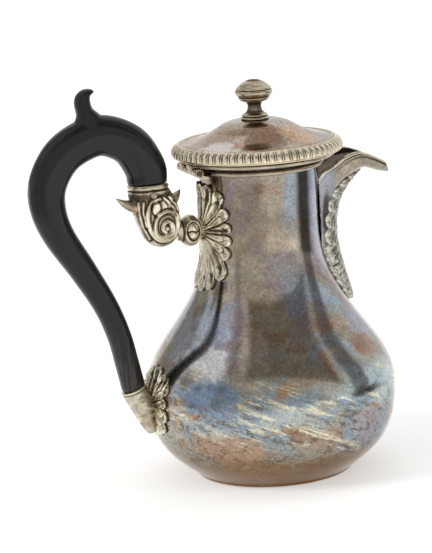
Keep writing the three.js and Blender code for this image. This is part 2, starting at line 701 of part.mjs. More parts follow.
function makeSeatRing() {
  const outer = lidRadius - lidBorderWidth - seatGap;
  const bottom = mouthHeight + seatGap;
  const bezelOuter = bodyRadiusAt(mouthHeight - bezelDepth) - wall - bezelGap;
  const outline = [
    [bezelOuter - bezelSheet, seatRingTop], [outer - seatRingBead, seatRingTop], [outer, seatRingTop - 0.3],
    [outer, bottom + 0.3], [outer - seatRingBead, bottom],
    [bezelOuter, bottom], [bezelOuter, mouthHeight - bezelDepth],
    [bezelOuter - bezelSheet, mouthHeight - bezelDepth], [bezelOuter - bezelSheet, seatRingTop],
  ];
  return revolve(outline, turnFacets).subtract(hingeLeafBlock(seatGap));
}

function makeKnop() {
  const base = domeTopHeight + seatGap;
  const tip = base - knopScrewLength;
  const profile = knopOutline.map(([r, z]) => [r, base + z]);
  return revolve([[0, tip], [knopScrewRadius, tip], [knopScrewRadius, base], ...profile, [0, base + knopHeight - seatGap]], smallFacets);
}

const washerTop = domeTopHeight - domeSheet - seatGap;

function makeWasher() {
  const hole = knopScrewRadius + seatGap;
  const [low, high] = [washerTop - washerThickness, washerTop];
  return revolve([[hole, low], [washerRadius, low], [washerRadius, high], [hole, high], [hole, low]], pinFacets);
}

function makeNut() {
  const high = washerTop - washerThickness - seatGap;
  const low = high - nutThickness;
  const hole = knopScrewRadius + seatGap / 2;
  const hexagon = revolve([[0, low], [nutRadius, low], [nutRadius, high], [0, high]], 6);
  return hexagon.subtract(bar(new THREE.Vector3(0, 0, low - 1), new THREE.Vector3(0, 0, high + 1), hole));
}

const upperFlank = upperSocketLevels.at(-2)[3];
const lowerFlank = lowerSocketLine[1][2];

const pitcher = new THREE.Group();
pitcher.name = 'pitcher';
const lid = new THREE.Group();
lid.name = 'lid';

pitcher.add(
  meshFrom('body_shell', makeBodyShell(), silver),
  meshFrom('rim_moulding', makeRimMoulding(), silver),
  meshFrom('spout', makeSpout(), silver),
  meshFrom('spout_leaf', makeSpoutLeaf(), cast),
  meshFrom('neck_leaf_plate', leafPlate(neckPlate), cast),
  meshFrom('upper_knuckle', makeKnuckle(), cast),
  meshFrom('upper_socket', makeUpperSocket(), cast),
  meshFrom('upper_handle_pin', handlePin(upperSeatBack, upperPinHeight, upperFlank), cast),
  meshFrom('handle', makeHandle(), ebonised),
  meshFrom('lower_socket', makeLowerSocket(), cast),
  meshFrom('belly_leaf_plate', leafPlate(bellyPlate, 4, 3), cast),
  meshFrom('lower_handle_pin', handlePin(-lowerPinCentre.x, lowerPinCentre.z, lowerFlank), cast),
  meshFrom('hinge_bracket', makeHingeBracket(), silver),
  meshFrom('hinge_pin', barrelAt(-hingeWidth / 2, hingeWidth / 2, hingePinRadius), silver),
);
lid.add(
  meshFrom('lid_dome', makeLidDome(), coppery),
  meshFrom('lid_border', makeLidBorder(), cast),
  meshFrom('lid_seat_ring', makeSeatRing(), silver),
  meshFrom('lid_hinge_leaf', makeLidHingeLeaf(), silver),
  meshFrom('knop', makeKnop(), cast),
  meshFrom('knop_washer', makeWasher(), silver),
  meshFrom('knop_nut', makeNut(), silver),
);
pitcher.add(lid);

export default pitcher;
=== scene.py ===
import math

import bmesh
import bpy
import numpy as np
from mathutils import Matrix, Vector


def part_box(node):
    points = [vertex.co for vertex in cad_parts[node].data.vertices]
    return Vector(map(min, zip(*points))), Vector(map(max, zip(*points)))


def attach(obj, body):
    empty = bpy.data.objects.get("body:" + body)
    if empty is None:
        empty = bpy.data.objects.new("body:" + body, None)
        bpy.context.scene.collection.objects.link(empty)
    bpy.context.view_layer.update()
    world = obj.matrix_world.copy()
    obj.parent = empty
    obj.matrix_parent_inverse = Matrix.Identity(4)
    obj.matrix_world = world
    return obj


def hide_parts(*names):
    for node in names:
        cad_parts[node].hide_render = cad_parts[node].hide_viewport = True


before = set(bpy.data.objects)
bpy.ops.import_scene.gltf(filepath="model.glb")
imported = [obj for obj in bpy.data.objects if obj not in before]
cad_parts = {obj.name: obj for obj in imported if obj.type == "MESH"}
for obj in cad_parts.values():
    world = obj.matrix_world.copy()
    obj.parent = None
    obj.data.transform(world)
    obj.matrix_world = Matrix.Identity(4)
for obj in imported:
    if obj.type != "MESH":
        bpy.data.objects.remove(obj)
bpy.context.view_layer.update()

MM = 0.001
ROUND = 240  # segments of the large turned pieces
FLAT, INSIDE_SHADE = 0.7, 0.3  # values of plain surfaces outside, and of inner walls, whose low value paints them in shade
WELD = 0.002

# Body, in millimetres with the origin at the centre of the base
BASE_RADIUS, BASE_EDGE = 34.0, 1.4
BELLY_RADIUS, BELLY_HEIGHT = 53.7, 36.8
WAIST_RADIUS, WAIST_HEIGHT = 24.75, 105.4
MOUTH_RADIUS, MOUTH_HEIGHT = 25.8, 136.4
WALL = 1.2
SHOULDER_PULL, WAIST_PULL = 23.0, 34.0
UNDERSIDE_PULL, UNDERSIDE_RISE, UNDERSIDE_SHARE = 23.0, 7.8, 0.5
SLOT_HALF_ANGLE, SLOT_BOTTOM = 18.0, 88.0
RIM_OPENING, RIM_BOTTOM = 22.0, 132.8
BODY_STEPS = 34

# Camera: distance to the object's middle, viewing angles in degrees, and lens in pixels
CAMERA_DISTANCE = 1.25
CAMERA_AZIMUTH, CAMERA_ELEVATION = -20.0, 12.127
CAMERA_ROLL, CAMERA_PAN, CAMERA_TILT = 3.334, 0.95, 0.256
FOCAL_PIXELS = 2910.0
FRAME_HEIGHT_PIXELS = 553
SENSOR = 36.0
AIM_HEIGHT = 0.08


# Curves and grids


def bezier(controls, count):
    """Points along a Bezier curve of any degree."""
    t = np.linspace(0, 1, count)[:, None]
    rows = [np.repeat(np.array(c, float)[None], count, 0) for c in controls]
    while len(rows) > 1:
        rows = [a * (1 - t) + b * t for a, b in zip(rows, rows[1:])]
    return rows[0]


def smooth_line(points, count):
    """Points along a smooth curve through every given row."""
    p = np.asarray(points, float)
    padded = np.vstack([2 * p[0] - p[1], p, 2 * p[-1] - p[-2]])
    t = np.linspace(0, len(p) - 1, count)
    i = np.minimum(t.astype(int), len(p) - 2)
    f = (t - i)[:, None]
    a, b, c, d = padded[i], padded[i + 1], padded[i + 2], padded[i + 3]
    return 0.5 * (2 * b + (c - a) * f + (2 * a - 5 * b + 4 * c - d) * f**2 + (3 * b - 3 * c + d - a) * f**3)


def body_outline(count):
    """Radius and height of the outer wall, from the base's edge to the mouth."""
    spread = BASE_RADIUS + UNDERSIDE_SHARE * (BELLY_RADIUS - BASE_RADIUS)
    underside = bezier([(BASE_RADIUS, BASE_EDGE), (spread, BASE_EDGE + UNDERSIDE_RISE),
                        (BELLY_RADIUS, BELLY_HEIGHT - UNDERSIDE_PULL), (BELLY_RADIUS, BELLY_HEIGHT)], count)
    shoulder = bezier([(BELLY_RADIUS, BELLY_HEIGHT), (BELLY_RADIUS, BELLY_HEIGHT + SHOULDER_PULL),
                       (WAIST_RADIUS, WAIST_HEIGHT - WAIST_PULL), (WAIST_RADIUS, WAIST_HEIGHT)], 2 * count)
    neck = bezier([(WAIST_RADIUS, WAIST_HEIGHT), (WAIST_RADIUS, (WAIST_HEIGHT + MOUTH_HEIGHT) / 2),
                   (MOUTH_RADIUS, MOUTH_HEIGHT)], count)
    return np.vstack([underside, shoulder[1:], neck[1:]])


FINE_OUTLINE = body_outline(120)


def body_radius(height):
    return np.interp(height, FINE_OUTLINE[:, 1], FINE_OUTLINE[:, 0])


def unit_directions(line):
    along = np.gradient(line, axis=0)
    return along / np.linalg.norm(along, axis=1)[:, None]


def normals_of(outline):
    """Outward normals of a radius and height line that runs upward."""
    along = unit_directions(outline)
    return np.stack([along[:, 1], -along[:, 0]], -1)


def bump(distance, width):
    return np.exp(-((distance / width) ** 2))


def smoothstep(low, high, value):
    t = np.clip((value - low) / (high - low), 0, 1)
    return t * t * (3 - 2 * t)


def distance_to_line(points, line):
    """Least distance from each 2-D point to a polyline."""
    a, b = line[:-1], line[1:]
    along = b - a
    length = np.maximum((along**2).sum(1), 1e-9)
    offset = points[:, None, :] - a[None]
    t = np.clip((offset * along).sum(2) / length, 0, 1)
    return np.linalg.norm(offset - t[..., None] * along, axis=2).min(1)


def shade_smooth(mesh):
    mesh.polygons.foreach_set("use_smooth", [True] * len(mesh.polygons))


def add_object(name, data):
    added = bpy.data.objects.new(name, data)
    bpy.context.scene.collection.objects.link(added)
    return added


class Shape:
    """Collects grids and caps of one piece, in millimetres, with a value at each point that the finishes turn
    into oxide in the hollows, painted shade and painted highlights.
    """

    def __init__(self):
        self.points, self.relief_and_shade, self.faces = [], [], []
        self.count = 0

    def add_points(self, points, relief_and_shade=FLAT):
        points = np.asarray(points, float)
        start = self.count
        self.points.append(points.reshape(-1, 3))
        self.relief_and_shade.append(np.broadcast_to(relief_and_shade, points.shape[:-1]).ravel())
        self.count += len(self.points[-1])
        return start

    def add_grid(self, grid, relief_and_shade=FLAT, wrap_cols=False, keep=None):
        rows, cols = grid.shape[:2]
        start = self.add_points(grid, relief_and_shade)
        r, c = np.meshgrid(np.arange(rows - 1), np.arange(cols if wrap_cols else cols - 1), indexing="ij")
        if keep is not None:
            chosen = keep(r, c)
            r, c = r[chosen], c[chosen]
        below, beside = r + 1, (c + 1) % cols
        quads = np.stack([r * cols + c, r * cols + beside, below * cols + beside, below * cols + c], -1)
        self.faces += (quads.reshape(-1, 4) + start).tolist()
        return start

    def add_fan(self, loop_start, count, centre, relief_and_shade=FLAT):
        middle = self.add_points([centre], relief_and_shade)
        self.faces += [[loop_start + j, loop_start + (j + 1) % count, middle] for j in range(count)]

    def add_tube(self, grid, relief_and_shade=FLAT, tips=(FLAT, FLAT)):
        """Closed loops in rows, with a fan over each end."""
        rows, cols = grid.shape[:2]
        start = self.add_grid(grid, relief_and_shade, wrap_cols=True)
        self.add_fan(start, cols, grid[0].mean(0), tips[0])
        self.add_fan(start + (rows - 1) * cols, cols, grid[-1].mean(0), tips[1])

    def add_arc(self, grid, relief_and_shade=FLAT):
        """Part of a turn of a closed outline, with a fan over each end."""
        self.add_grid(grid, relief_and_shade)
        for column in (0, -1):
            loop = grid[:-1, column]
            self.add_fan(self.add_points(loop), len(loop), loop.mean(0))

    def build(self, name, sharp_angle=38.0):
        mesh = bpy.data.meshes.new(name)
        points = np.vstack(self.points) * MM
        mesh.from_pydata(points.tolist(), [], self.faces)
        attribute = mesh.attributes.new("relief_and_shade", "FLOAT", "POINT")
        attribute.data.foreach_set("value", np.concatenate(self.relief_and_shade).astype(np.float32))
        welded = bmesh.new()
        welded.from_mesh(mesh)
        bmesh.ops.remove_doubles(welded, verts=welded.verts, dist=WELD * MM)
        bmesh.ops.recalc_face_normals(welded, faces=welded.faces)
        welded.to_mesh(mesh)
        welded.free()
        shade_smooth(mesh)
        mesh.set_sharp_from_angle(angle=math.radians(sharp_angle))
        return add_object(name, mesh)


def tube_piece(name, grid, relief_and_shade=FLAT, tips=(FLAT, FLAT), sharp_angle=38.0):
    """A piece that is one closed tube."""
    shape = Shape()
    shape.add_tube(grid, relief_and_shade, tips)
    return shape.build(name, sharp_angle)


def give_material(piece, finish):
    piece.data.materials.clear()
    piece.data.materials.append(finish)


def turned(outline, segments, start=0.0, end=360.0):
    """A grid of the outline's points turned about Z: rows along the outline, columns round."""
    outline = np.asarray(outline, float)
    full = end - start >= 360
    angles = np.radians(np.linspace(start, end, segments + (0 if full else 1), endpoint=not full))
    radius, height = outline[:, :1], np.repeat(outline[:, 1:], len(angles), 1)
    return np.stack([radius * np.cos(angles), radius * np.sin(angles), height], -1)


def shifted(points, x, z):
    """Points of an outline, given from a corner at x and z."""
    return [(x + along, z + up) for along, up in points]


def arc_points(centre, half_sizes, start, end, count=12):
    """Radius and height of points round part of an oval, with angles in radians."""
    return [(centre[0] + half_sizes[0] * math.cos(a), centre[1] + half_sizes[1] * math.sin(a))
            for a in np.linspace(start, end, count)]


def oval_loops(centres, in_plane, half_in_plane, half_across, steps, power=2.0):
    """Loops square to a line in the handle's plane: rows along the line, columns round."""
    angle = np.linspace(0, 2 * np.pi, steps, endpoint=False)
    cosine, sine = (np.sign(wave) * np.abs(wave) ** (2.0 / power) for wave in (np.cos(angle), np.sin(angle)))
    grid = centres[:, None, :] + in_plane[:, None, :] * (half_in_plane[:, None] * cosine)[..., None]
    grid[..., 1] += half_across[:, None] * sine
    return grid


def in_plane_of_symmetry(x, z):
    return np.stack([x, np.zeros(len(x)), z], -1)


def behind(rows):
    """Points given as distance behind the axis and height, in the handle's plane."""
    rows = np.asarray(rows, float)
    return in_plane_of_symmetry(-rows[:, 0], rows[:, 1])


def square_to(line):
    along = unit_directions(line)
    return in_plane_of_symmetry(-along[:, 2], along[:, 0])


# Body and mouth


def make_body():
    """The raised wall, open behind the spout, with a flat base."""
    whole = body_outline(BODY_STEPS)
    inner = whole - normals_of(whole) * WALL
    inner = inner[inner[:, 1] > WALL]
    lower, outer = np.split(whole, [len(whole) - len(inner)])
    slot_cells = round(SLOT_HALF_ANGLE * ROUND / 360)
    slot_row = int(np.searchsorted(outer[:, 1], SLOT_BOTTOM))

    def keep(r, c):
        return (r < slot_row) | ((c >= slot_cells) & (c < ROUND - slot_cells))

    shape = Shape()
    walls = turned(outer, ROUND), turned(inner, ROUND)
    shape.add_grid(walls[0], wrap_cols=True, keep=keep)
    # The inner wall carries the low inside value: painted shade.
    shape.add_grid(walls[1], INSIDE_SHADE, wrap_cols=True, keep=keep)
    for column in (slot_cells, ROUND - slot_cells):
        shape.add_grid(np.stack([wall[slot_row:, column] for wall in walls], 1))
    sill, lip = np.arange(-slot_cells, slot_cells + 1) % ROUND, np.arange(slot_cells, ROUND - slot_cells + 1)
    for row, columns in ((slot_row, sill), (-1, lip)):
        shape.add_grid(np.stack([wall[row, columns] for wall in walls], 1))
    edge = shifted([(-BASE_EDGE, 0.0), (-0.7, 0.25), (-0.15, 0.9)], BASE_RADIUS, 0.0)
    start = shape.add_grid(turned(np.vstack([edge, lower, outer[:1]]), ROUND), wrap_cols=True)
    shape.add_fan(start, ROUND, (0, 0, 0))
    start = shape.add_grid(turned([inner[0], (inner[0, 0] - 2.0, WALL)], ROUND), wrap_cols=True)
    shape.add_fan(start + ROUND, ROUND, (0, 0, WALL))
    return shape.build("body")


def make_rim():
    """The applied moulding round the mouth, which stops at each side of the spout."""
    inner, bottom, top = MOUTH_RADIUS + 0.05, RIM_BOTTOM, MOUTH_HEIGHT
    bead = arc_points((inner + 1.45, bottom + 0.95), (1.0, 0.95), -1.9, 1.5)
    scotia = shifted([(1.3, 2.05), (1.1, 2.4), (1.3, 2.75)], inner, bottom)
    lip = shifted([(2.2, -0.65), (2.35, -0.35), (2.1, 0), (0, 0)], inner, top)
    outline = [(inner, bottom + 0.1), *bead, *scotia, *lip]
    # Painted light on the moulding: a painted highlight along the bead's underside, fading over its top.
    shade = np.array([0.35, *np.linspace(0.8, 0.38, len(bead)), 0.3, 0.26, 0.3, 0.36, 0.45, 0.5, 0.4, 0.35])
    shape = Shape()
    shape.add_arc(turned(outline + outline[:1], ROUND, RIM_OPENING, 360 - RIM_OPENING), shade[:, None])
    return shape.build("rim")


# Spout


SPOUT_STATIONS = [  # rim x and z, keel x and z, half width
    (19.95, 74, 32.35, 74.7, 3.3), (20.15, 84, 33.35, 81.8, 6.1), (20.25, 94, 32.55, 90.9, 8.2),
    (20.35, 104, 31.95, 101.5, 9.3), (20.45, 113, 32.55, 110, 9.7), (21.55, 121, 34.45, 117, 9.8),
    (25.35, 127.2, 38.35, 121.8, 9.8), (30.35, 129.8, 42.55, 124.8, 10), (35.95, 133.2, 47.15, 126.8, 10.1),
    (42.15, 134.7, 50.35, 126, 9.3), (47.95, 133.1, 53.75, 124.8, 8), (53.55, 130.2, 56.95, 124, 6.4),
    (56.75, 128.4, 58.95, 123.5, 5),
]
RIM_BEAD = 0.85
SECTION_POINTS, ROLL_POINTS = 89, 9


def sections(stations, count):
    """Rim line, unit direction down to the keel, depth and half width, at many stations."""
    rows = smooth_line(stations, count)
    rim = in_plane_of_symmetry(rows[:, 0], rows[:, 1])
    down = in_plane_of_symmetry(rows[:, 2] - rows[:, 0], rows[:, 3] - rows[:, 1])
    depth = np.linalg.norm(down, axis=1)
    return rim, down / depth[:, None], depth, rows[:, 4]


def make_spout():
    """A U-shaped channel that opens at the top, with a rolled wire along its edges."""
    rim, down, depth, half = sections(SPOUT_STATIONS, 150)
    across = np.array([0.0, 1.0, 0.0])
    angle = np.radians(np.linspace(-88, 88, SECTION_POINTS))

    def section(shrink):
        reach = (depth[:, None] - shrink) * np.cos(angle)
        side = (half[:, None] - shrink) * np.sin(angle)
        return rim[:, None] + down[:, None] * reach[..., None] + across * side[..., None]

    tilt = np.abs(np.degrees(angle))
    band = 0.55 * bump(tilt - 84, 3.0) - 0.35 * bump(tilt - 76.5, 2.2)
    parts = [section(-band * smoothstep(22, 32, rim[:, :1])), section(WALL)[:, ::-1]]
    turn = np.linspace(-0.2, 1.2, ROLL_POINTS) * np.pi
    bead_size = RIM_BEAD * smoothstep(-0.02, 0.25, (rim[:, 0] - 22) / 20)[:, None]
    for side, place in ((1, 1), (-1, 3)):
        centre = rim + across * (side * (half - 0.45))[:, None]
        swing = turn[::side]
        parts.insert(place, centre[:, None] - down[:, None] * (bead_size * np.sin(swing))[..., None]
                     + across * (side * bead_size * np.cos(swing))[..., None])
    grid = np.concatenate(parts, 1)
    away, least = np.hypot(grid[..., 0], grid[..., 1]), MOUTH_RADIUS - 0.4
    inside = (away < least) & (grid[..., 2] < 127.5)
    grid[..., :2] *= np.where(inside, least / np.maximum(away, 1), 1.0)[..., None]
    # Painted light: a painted highlight along the rolled wire and its edges, painted shade over the channel's
    # inside.
    relief_and_shade = np.repeat([FLAT, 1.0, 0.2, 1.0], [SECTION_POINTS, ROLL_POINTS] * 2)
    inner_start = SECTION_POINTS + ROLL_POINTS
    relief_and_shade[[0, SECTION_POINTS - 1]] = 0.95
    relief_and_shade[[inner_start, inner_start + SECTION_POINTS - 1]] = 0.6
    return tube_piece("spout_shell", grid, relief_and_shade)


LEAF_STATIONS = [  # rim x and z, keel x and z, half width
    (34.15, 69.6, 40.1, 69.9, 0.5), (30.35, 73.8, 39.9, 73.2, 3.6), (27.35, 79.9, 38.7, 78.2, 5.8),
    (24.45, 88, 36.8, 85.3, 7), (24.45, 98, 34.5, 95.5, 6.9), (24.55, 107, 34.1, 104.6, 7.1),
    (25.75, 116, 35.9, 113, 6.6), (29.75, 122, 39.2, 118.8, 5.4), (34.95, 126, 43.2, 123.2, 3.9),
    (40.95, 128, 46.8, 126.2, 1),
]
LEAF_LOBES = 11.5
LEAF_POINTS = 97


def spout_carrier(rim, down, y):
    """How far along the section line the spout's outside, or the body's, lies at a sideways offset."""
    lean = 0.35
    stations = smooth_line(SPOUT_STATIONS, 400)
    keys = stations[:, 3] + lean * stations[:, 2]
    order = np.argsort(keys)
    keys, stations = keys[order], stations[order]
    best = np.zeros(y.shape)
    for reach in np.linspace(0, 24, 121):
        point = rim[:, None] + down[:, None] * reach
        x, z = point[..., 0], point[..., 2]
        key = z + lean * x
        rim_x, keel_x, half = (np.interp(key, keys, stations[:, column]) for column in (0, 2, 4))
        share = np.clip(1 - (y / half) ** 2, 0, 1)
        on_spout = (x < rim_x + (keel_x - rim_x) * np.sqrt(share)) & (share > 0)
        best = np.where((np.hypot(x, y) < body_radius(z)) | on_spout, reach, best)
    return best


def make_spout_leaf():
    """A lobed acanthus leaf in low raised work down the keel of the spout, chased with fine lines."""
    rim, down, crest, half = sections(LEAF_STATIONS, 460)
    t = np.linspace(0, 1, len(rim))[:, None]
    edge = 1 - 0.17 * (1 - np.sin(np.pi * ((t * LEAF_LOBES) % 1.0)) ** 0.5) * smoothstep(0.02, 0.1, t)
    s = np.linspace(-1, 1, LEAF_POINTS)
    y = 1.17 * half[:, None] * edge * s
    carrier = spout_carrier(rim, down, y)
    proud = np.maximum(crest[:, None] - carrier[:, LEAF_POINTS // 2, None], 0.6)
    side = np.abs(s)
    climb = t * LEAF_LOBES + side * 1.7
    inner = climb % 1.0
    fold = 0.32 * np.sin(np.pi * inner) ** 0.7 * smoothstep(0.1, 0.3, side)
    crease = (-0.6 * bump(np.minimum(inner, 1 - inner), 0.075) * smoothstep(0.14, 0.3, side)
              * smoothstep(1.02, 0.8, side))
    fine = 0.17 * np.cos(2 * np.pi * (climb * 2 + side * 2.4)) * smoothstep(0.16, 0.3, side)
    eye = -0.4 * bump(np.hypot((inner - 0.5) * 3.2, (side - 0.66) * 4.6), 0.32)
    stem = 0.5 * bump(side, 0.075) - 0.4 * bump(side - 0.14, 0.03)
    curl = 0.4 * bump(side - 0.95, 0.06)
    height = np.maximum(proud * (1 - 0.75 * side**1.8) + fold + crease + fine + eye + stem + curl, 0.25)
    shade = 0.56 + 0.5 * fold + 0.8 * crease + 1.6 * fine + 0.9 * eye + 0.7 * stem + 0.6 * curl
    relief_and_shade = np.concatenate([np.clip(shade, 0.12, 1), np.zeros_like(shade)], 1)

    def surface(reach):
        grid = rim[:, None] + down[:, None] * reach[..., None]
        grid[..., 1] = y
        return grid

    grid = np.concatenate([surface(carrier + height), surface(carrier - 0.4)[:, ::-1]], 1)
    return tube_piece("spout_acanthus", grid, relief_and_shade, sharp_angle=55)


# Leaf plates


NECK_LOBES = [  # direction in degrees from sideways, reach, and how hollow it is, of the leaves on one side
    (90, 20.6, 1.1), (68, 21.6, 1.2), (46, 22.2, 1), (26, 18.9, 0.1), (8, 17.4, 1.3), (-8, 17.2, 0),
    (-25, 18.8, 0.35), (-45, 23.8, 1.1), (-62, 25, 0.9), (-79, 25, 0.7),
]
NECK_CENTRE = 107.5
BELLY_LOBES = [
    (75, 16.4, 0.8), (48, 16.3, 0.9), (28, 17, 0.6), (9, 13.8, 0.9), (-15, 14.1, 0.5), (-40, 14.9, 1),
    (-64, 14.2, 0.7), (-90, 14.4, 0.8),
]
BELLY_CENTRE = 36.0


def leaf_plate(name, lobes, centre, thick, relief_height, heart, spokes=560, rings=64):
    """A plate of spoon-shaped leaves with raised rims, which follows the body's curve at the back."""
    angle = np.linspace(-np.pi, np.pi, spokes, endpoint=False)
    mirrored = [(180 - a, r, h) for a, r, h in lobes if abs(a) < 90]
    tips = sorted((math.radians((a + 180) % 360 - 180), r, h) for a, r, h in lobes + mirrored)
    directions, reaches, hollows = np.array(tips).T
    gap = (angle[:, None] - directions[None] + np.pi) % (2 * np.pi) - np.pi
    nearest, next_one = np.argsort(np.abs(gap), axis=1)[:, :2].T
    spacing = np.abs((directions[nearest] - directions[next_one] + np.pi) % (2 * np.pi) - np.pi) / 2
    across = np.clip(np.take_along_axis(gap, nearest[:, None], 1)[:, 0] / spacing, -1, 1)
    reach = reaches[nearest] * (1 - 0.17 * np.abs(across) ** 2.6)
    hollow, side = hollows[nearest], np.abs(across)
    share = np.linspace(0, 1, rings + 1)[1:, None]
    rho = share * reach
    middle = np.abs(across + 0.2 * np.sin(6.5 * share + 2.4 * nearest) * (1 - side**2))
    beyond = smoothstep(0.14, 0.34, share)
    swell = relief_height * np.sin(np.pi * np.clip(0.12 + 0.86 * share, 0, 1)) * (1 - side**2.2)
    gutter = -1.0 * bump(side - 1, 0.13) * beyond
    lip = 0.5 * bump(middle - 0.7, 0.13) * beyond
    dish = -0.75 * bump(middle, 0.4) * hollow * beyond * smoothstep(1.0, 0.86, share)
    vein = 0.42 * bump(middle, 0.075) * beyond * smoothstep(0.9, 0.7, share) * np.clip(hollow, 0.3, 1)
    turn_up = 0.8 * smoothstep(0.78, 0.95, share) * (1 - 0.5 * side)
    crease = -0.55 * bump(share - 0.8 + 0.1 * side, 0.028) * (1 - side**4)
    core = heart * bump(share * 3.1, 1.0)
    height = np.maximum(thick + swell + gutter + lip + dish + vein + turn_up + crease + core, 0.35)
    bent = angle + 0.12 * share**2 * np.sin(2 * angle)
    z = centre + rho * np.sin(bent)
    radius = body_radius(z)
    turn = rho * np.cos(bent) / radius

    def surface(out):
        return np.stack([-out * np.cos(turn), out * np.sin(turn), z], -1)

    front, back = surface(radius + height), surface(radius - 0.25)
    # Oxide in the hollows, and a painted shade along the top of the plate.
    relief_and_shade = np.clip(0.68 + 0.5 * lip + 0.5 * vein + 0.6 * dish + 0.7 * gutter + 0.7 * crease + 0.25 * core
                     - 0.22 * smoothstep(0.78, 0.95, np.sin(angle)) * beyond, 0.05, 1)
    values = np.concatenate([relief_and_shade, np.zeros_like(relief_and_shade)], 0)
    return tube_piece(name, np.concatenate([front, back[::-1]], 0), values, (0.6, 0.0), 60)


# Upper socket and knuckle


SOCKET_LEVELS = [  # height, rear, front, half width
    (103.5, 47.1, 44, 2.4), (104.5, 50.1, 40.9, 4.5), (107, 52.6, 38.4, 5.7), (110.5, 54.5, 37.2, 6.2),
    (116.9, 56.7, 36.5, 6.7), (122, 58, 37.4, 7.2), (125.9, 58.6, 39.2, 7.5), (128.8, 58.6, 40.7, 7.6),
    (130.8, 58.3, 41.3, 7.5),
]
SPIRAL = [
    (46.9, 124.9), (50.5, 124.1), (52, 121.8), (52.8, 117.5), (52.2, 113.2), (50.6, 109.6), (48.2, 107.2),
    (45.1, 106.4), (41.9, 107.2), (39.5, 109.5), (38.4, 112.8), (39, 116.4), (41.1, 118.3), (43.7, 119.1),
    (47, 118.1), (48.9, 115.8), (49.6, 112.5), (48.9, 109.4), (46.7, 108.2), (44.1, 108.4), (41.7, 109.8),
    (41.2, 111.9), (41.9, 113.7), (43.6, 114.8), (45.5, 113.7), (46, 111.6), (44.8, 110.1),
]
FLANK_LINES = [
    [(56.4, 124), (55.8, 118.8), (54.4, 113.1), (51.8, 107.6)],
    [(54.3, 124), (54.2, 118.5), (53.2, 113.2)],
    [(45.2, 125.5), (41.6, 121.7), (39.1, 117.9), (37.8, 114.8)],
    [(42.5, 125.4), (39.2, 121.5), (37.6, 118.4)],
]
SOCKET_COLUMNS = 180
OVAL_POWER = 2.3  # squareness of the cup's and the wood's sections
SCALY_LINE = [(56.9, 126), (56.4, 120), (55, 113.4), (52.2, 107.8)]
KNUCKLE_HEIGHT = 108.7
KNUCKLE_OUTLINE = [  # distance behind the axis, radius
    (26, 3.2), (27.4, 3.4), (28.5, 4), (29.4, 5.4), (30.6, 6.4), (32.9, 6.8), (34.8, 6), (36, 4.9),
    (37.4, 4), (38.4, 3.7),
]


def socket_relief(back, height):
    """Carving on the cup's flanks: a scroll that winds into a volute, and leaf lines beside it."""
    x, z = back.ravel(), height.ravel()
    points = np.stack([x, z], -1)

    def off(line, count):
        return distance_to_line(points, smooth_line(line, count))

    def around_point(centre_x, centre_z, wide=1.0, tall=1.0):
        return np.hypot((x - centre_x) / wide, (z - centre_z) / tall)

    away = off(SPIRAL, 160)
    carving = 0.95 * bump(away, 0.62) - 0.5 * bump(away - 1.25, 0.38)
    for line in FLANK_LINES:
        away = off(line, 24)
        carving += 0.55 * bump(away, 0.36) - 0.42 * bump(away - 0.8, 0.3)
    drop = around_point(48.6, 121.0, 2.0, 3.1)
    carving += 0.35 * bump(drop, 0.8) - 0.6 * bump(drop - 1.15, 0.16)
    carving += 0.7 * bump(around_point(44.1, 111.6), 0.8) - 0.7 * bump(around_point(43.2, 112.9), 0.6)
    grains = np.sin(x * 4.4 + z * 1.3) * np.sin(z * 4.9 - x * 1.1)
    carving += (0.3 * grains - 0.3) * bump(off(SCALY_LINE, 30), 1.1)
    carving += 0.3 * (np.sin(x * 3.6 - z * 1.5) * bump(around_point(41.5, 122.6, 1.0, 1.6), 2.6))
    return carving.reshape(back.shape)


def make_upper_socket():
    """The carved cup that holds the wood's upper end, with a ribbed collar round its mouth."""
    z, rear, front, half = smooth_line(SOCKET_LEVELS, 170).T
    centres = behind(np.stack([(rear + front) / 2, z], -1))
    across = np.tile([1.0, 0.0, 0.0], (len(z), 1))
    grid = oval_loops(centres, across, (rear - front) / 2, half, SOCKET_COLUMNS, OVAL_POWER)
    z = grid[..., 2]
    flank = smoothstep(0.2, 0.6, np.abs(grid[..., 1]) / half[:, None])
    collar = 0.55 * bump(z - 129.9, 0.6) - 0.5 * bump(z - 128.6, 0.35) + 0.3 * bump(z - 127.9, 0.3)
    raised = socket_relief(-grid[..., 0], z) * flank * smoothstep(128.3, 126.3, z) + collar
    outward = grid - centres[:, None]
    outward[..., 2] = 0
    outward /= np.maximum(np.linalg.norm(outward, axis=2), 1e-6)[..., None]
    grid = grid + outward * (raised - 0.35)[..., None]
    # A painted shade darkens the band under the collar, and the cup's inside carries painted shade.
    relief_and_shade = np.clip(0.44 + 0.62 * raised - 0.22 * bump(z - 126.2, 1.6), 0, 1)
    mouth = grid[-1] + (centres[-1] - grid[-1]) * 0.34
    grid = np.concatenate([grid, [mouth, mouth + [0, 0, -8.0]]])
    relief_and_shade = np.concatenate([relief_and_shade, np.full((2, SOCKET_COLUMNS), INSIDE_SHADE)])
    return tube_piece("socket_scroll", grid, relief_and_shade, (0.4, 0.4), 60)


def make_spike(name, root, bend, tip, half, thick):
    """A leaf tip that curls out of the cup, with a groove down its middle."""
    centres = behind(bezier([root, bend, tip], 40))
    taper = 1 - 0.93 * np.linspace(0, 1, 40) ** 1.5
    grid = oval_loops(centres, square_to(centres), thick * taper, half * taper, steps=36, power=1.8)
    groove = 1 - 0.25 * bump(grid[..., 1] / (half * taper[:, None]), 0.25)
    grid = centres[:, None] + (grid - centres[:, None]) * groove[..., None]
    return tube_piece(name, grid, np.clip(0.02 + groove * 0.42, 0, 1), sharp_angle=60)


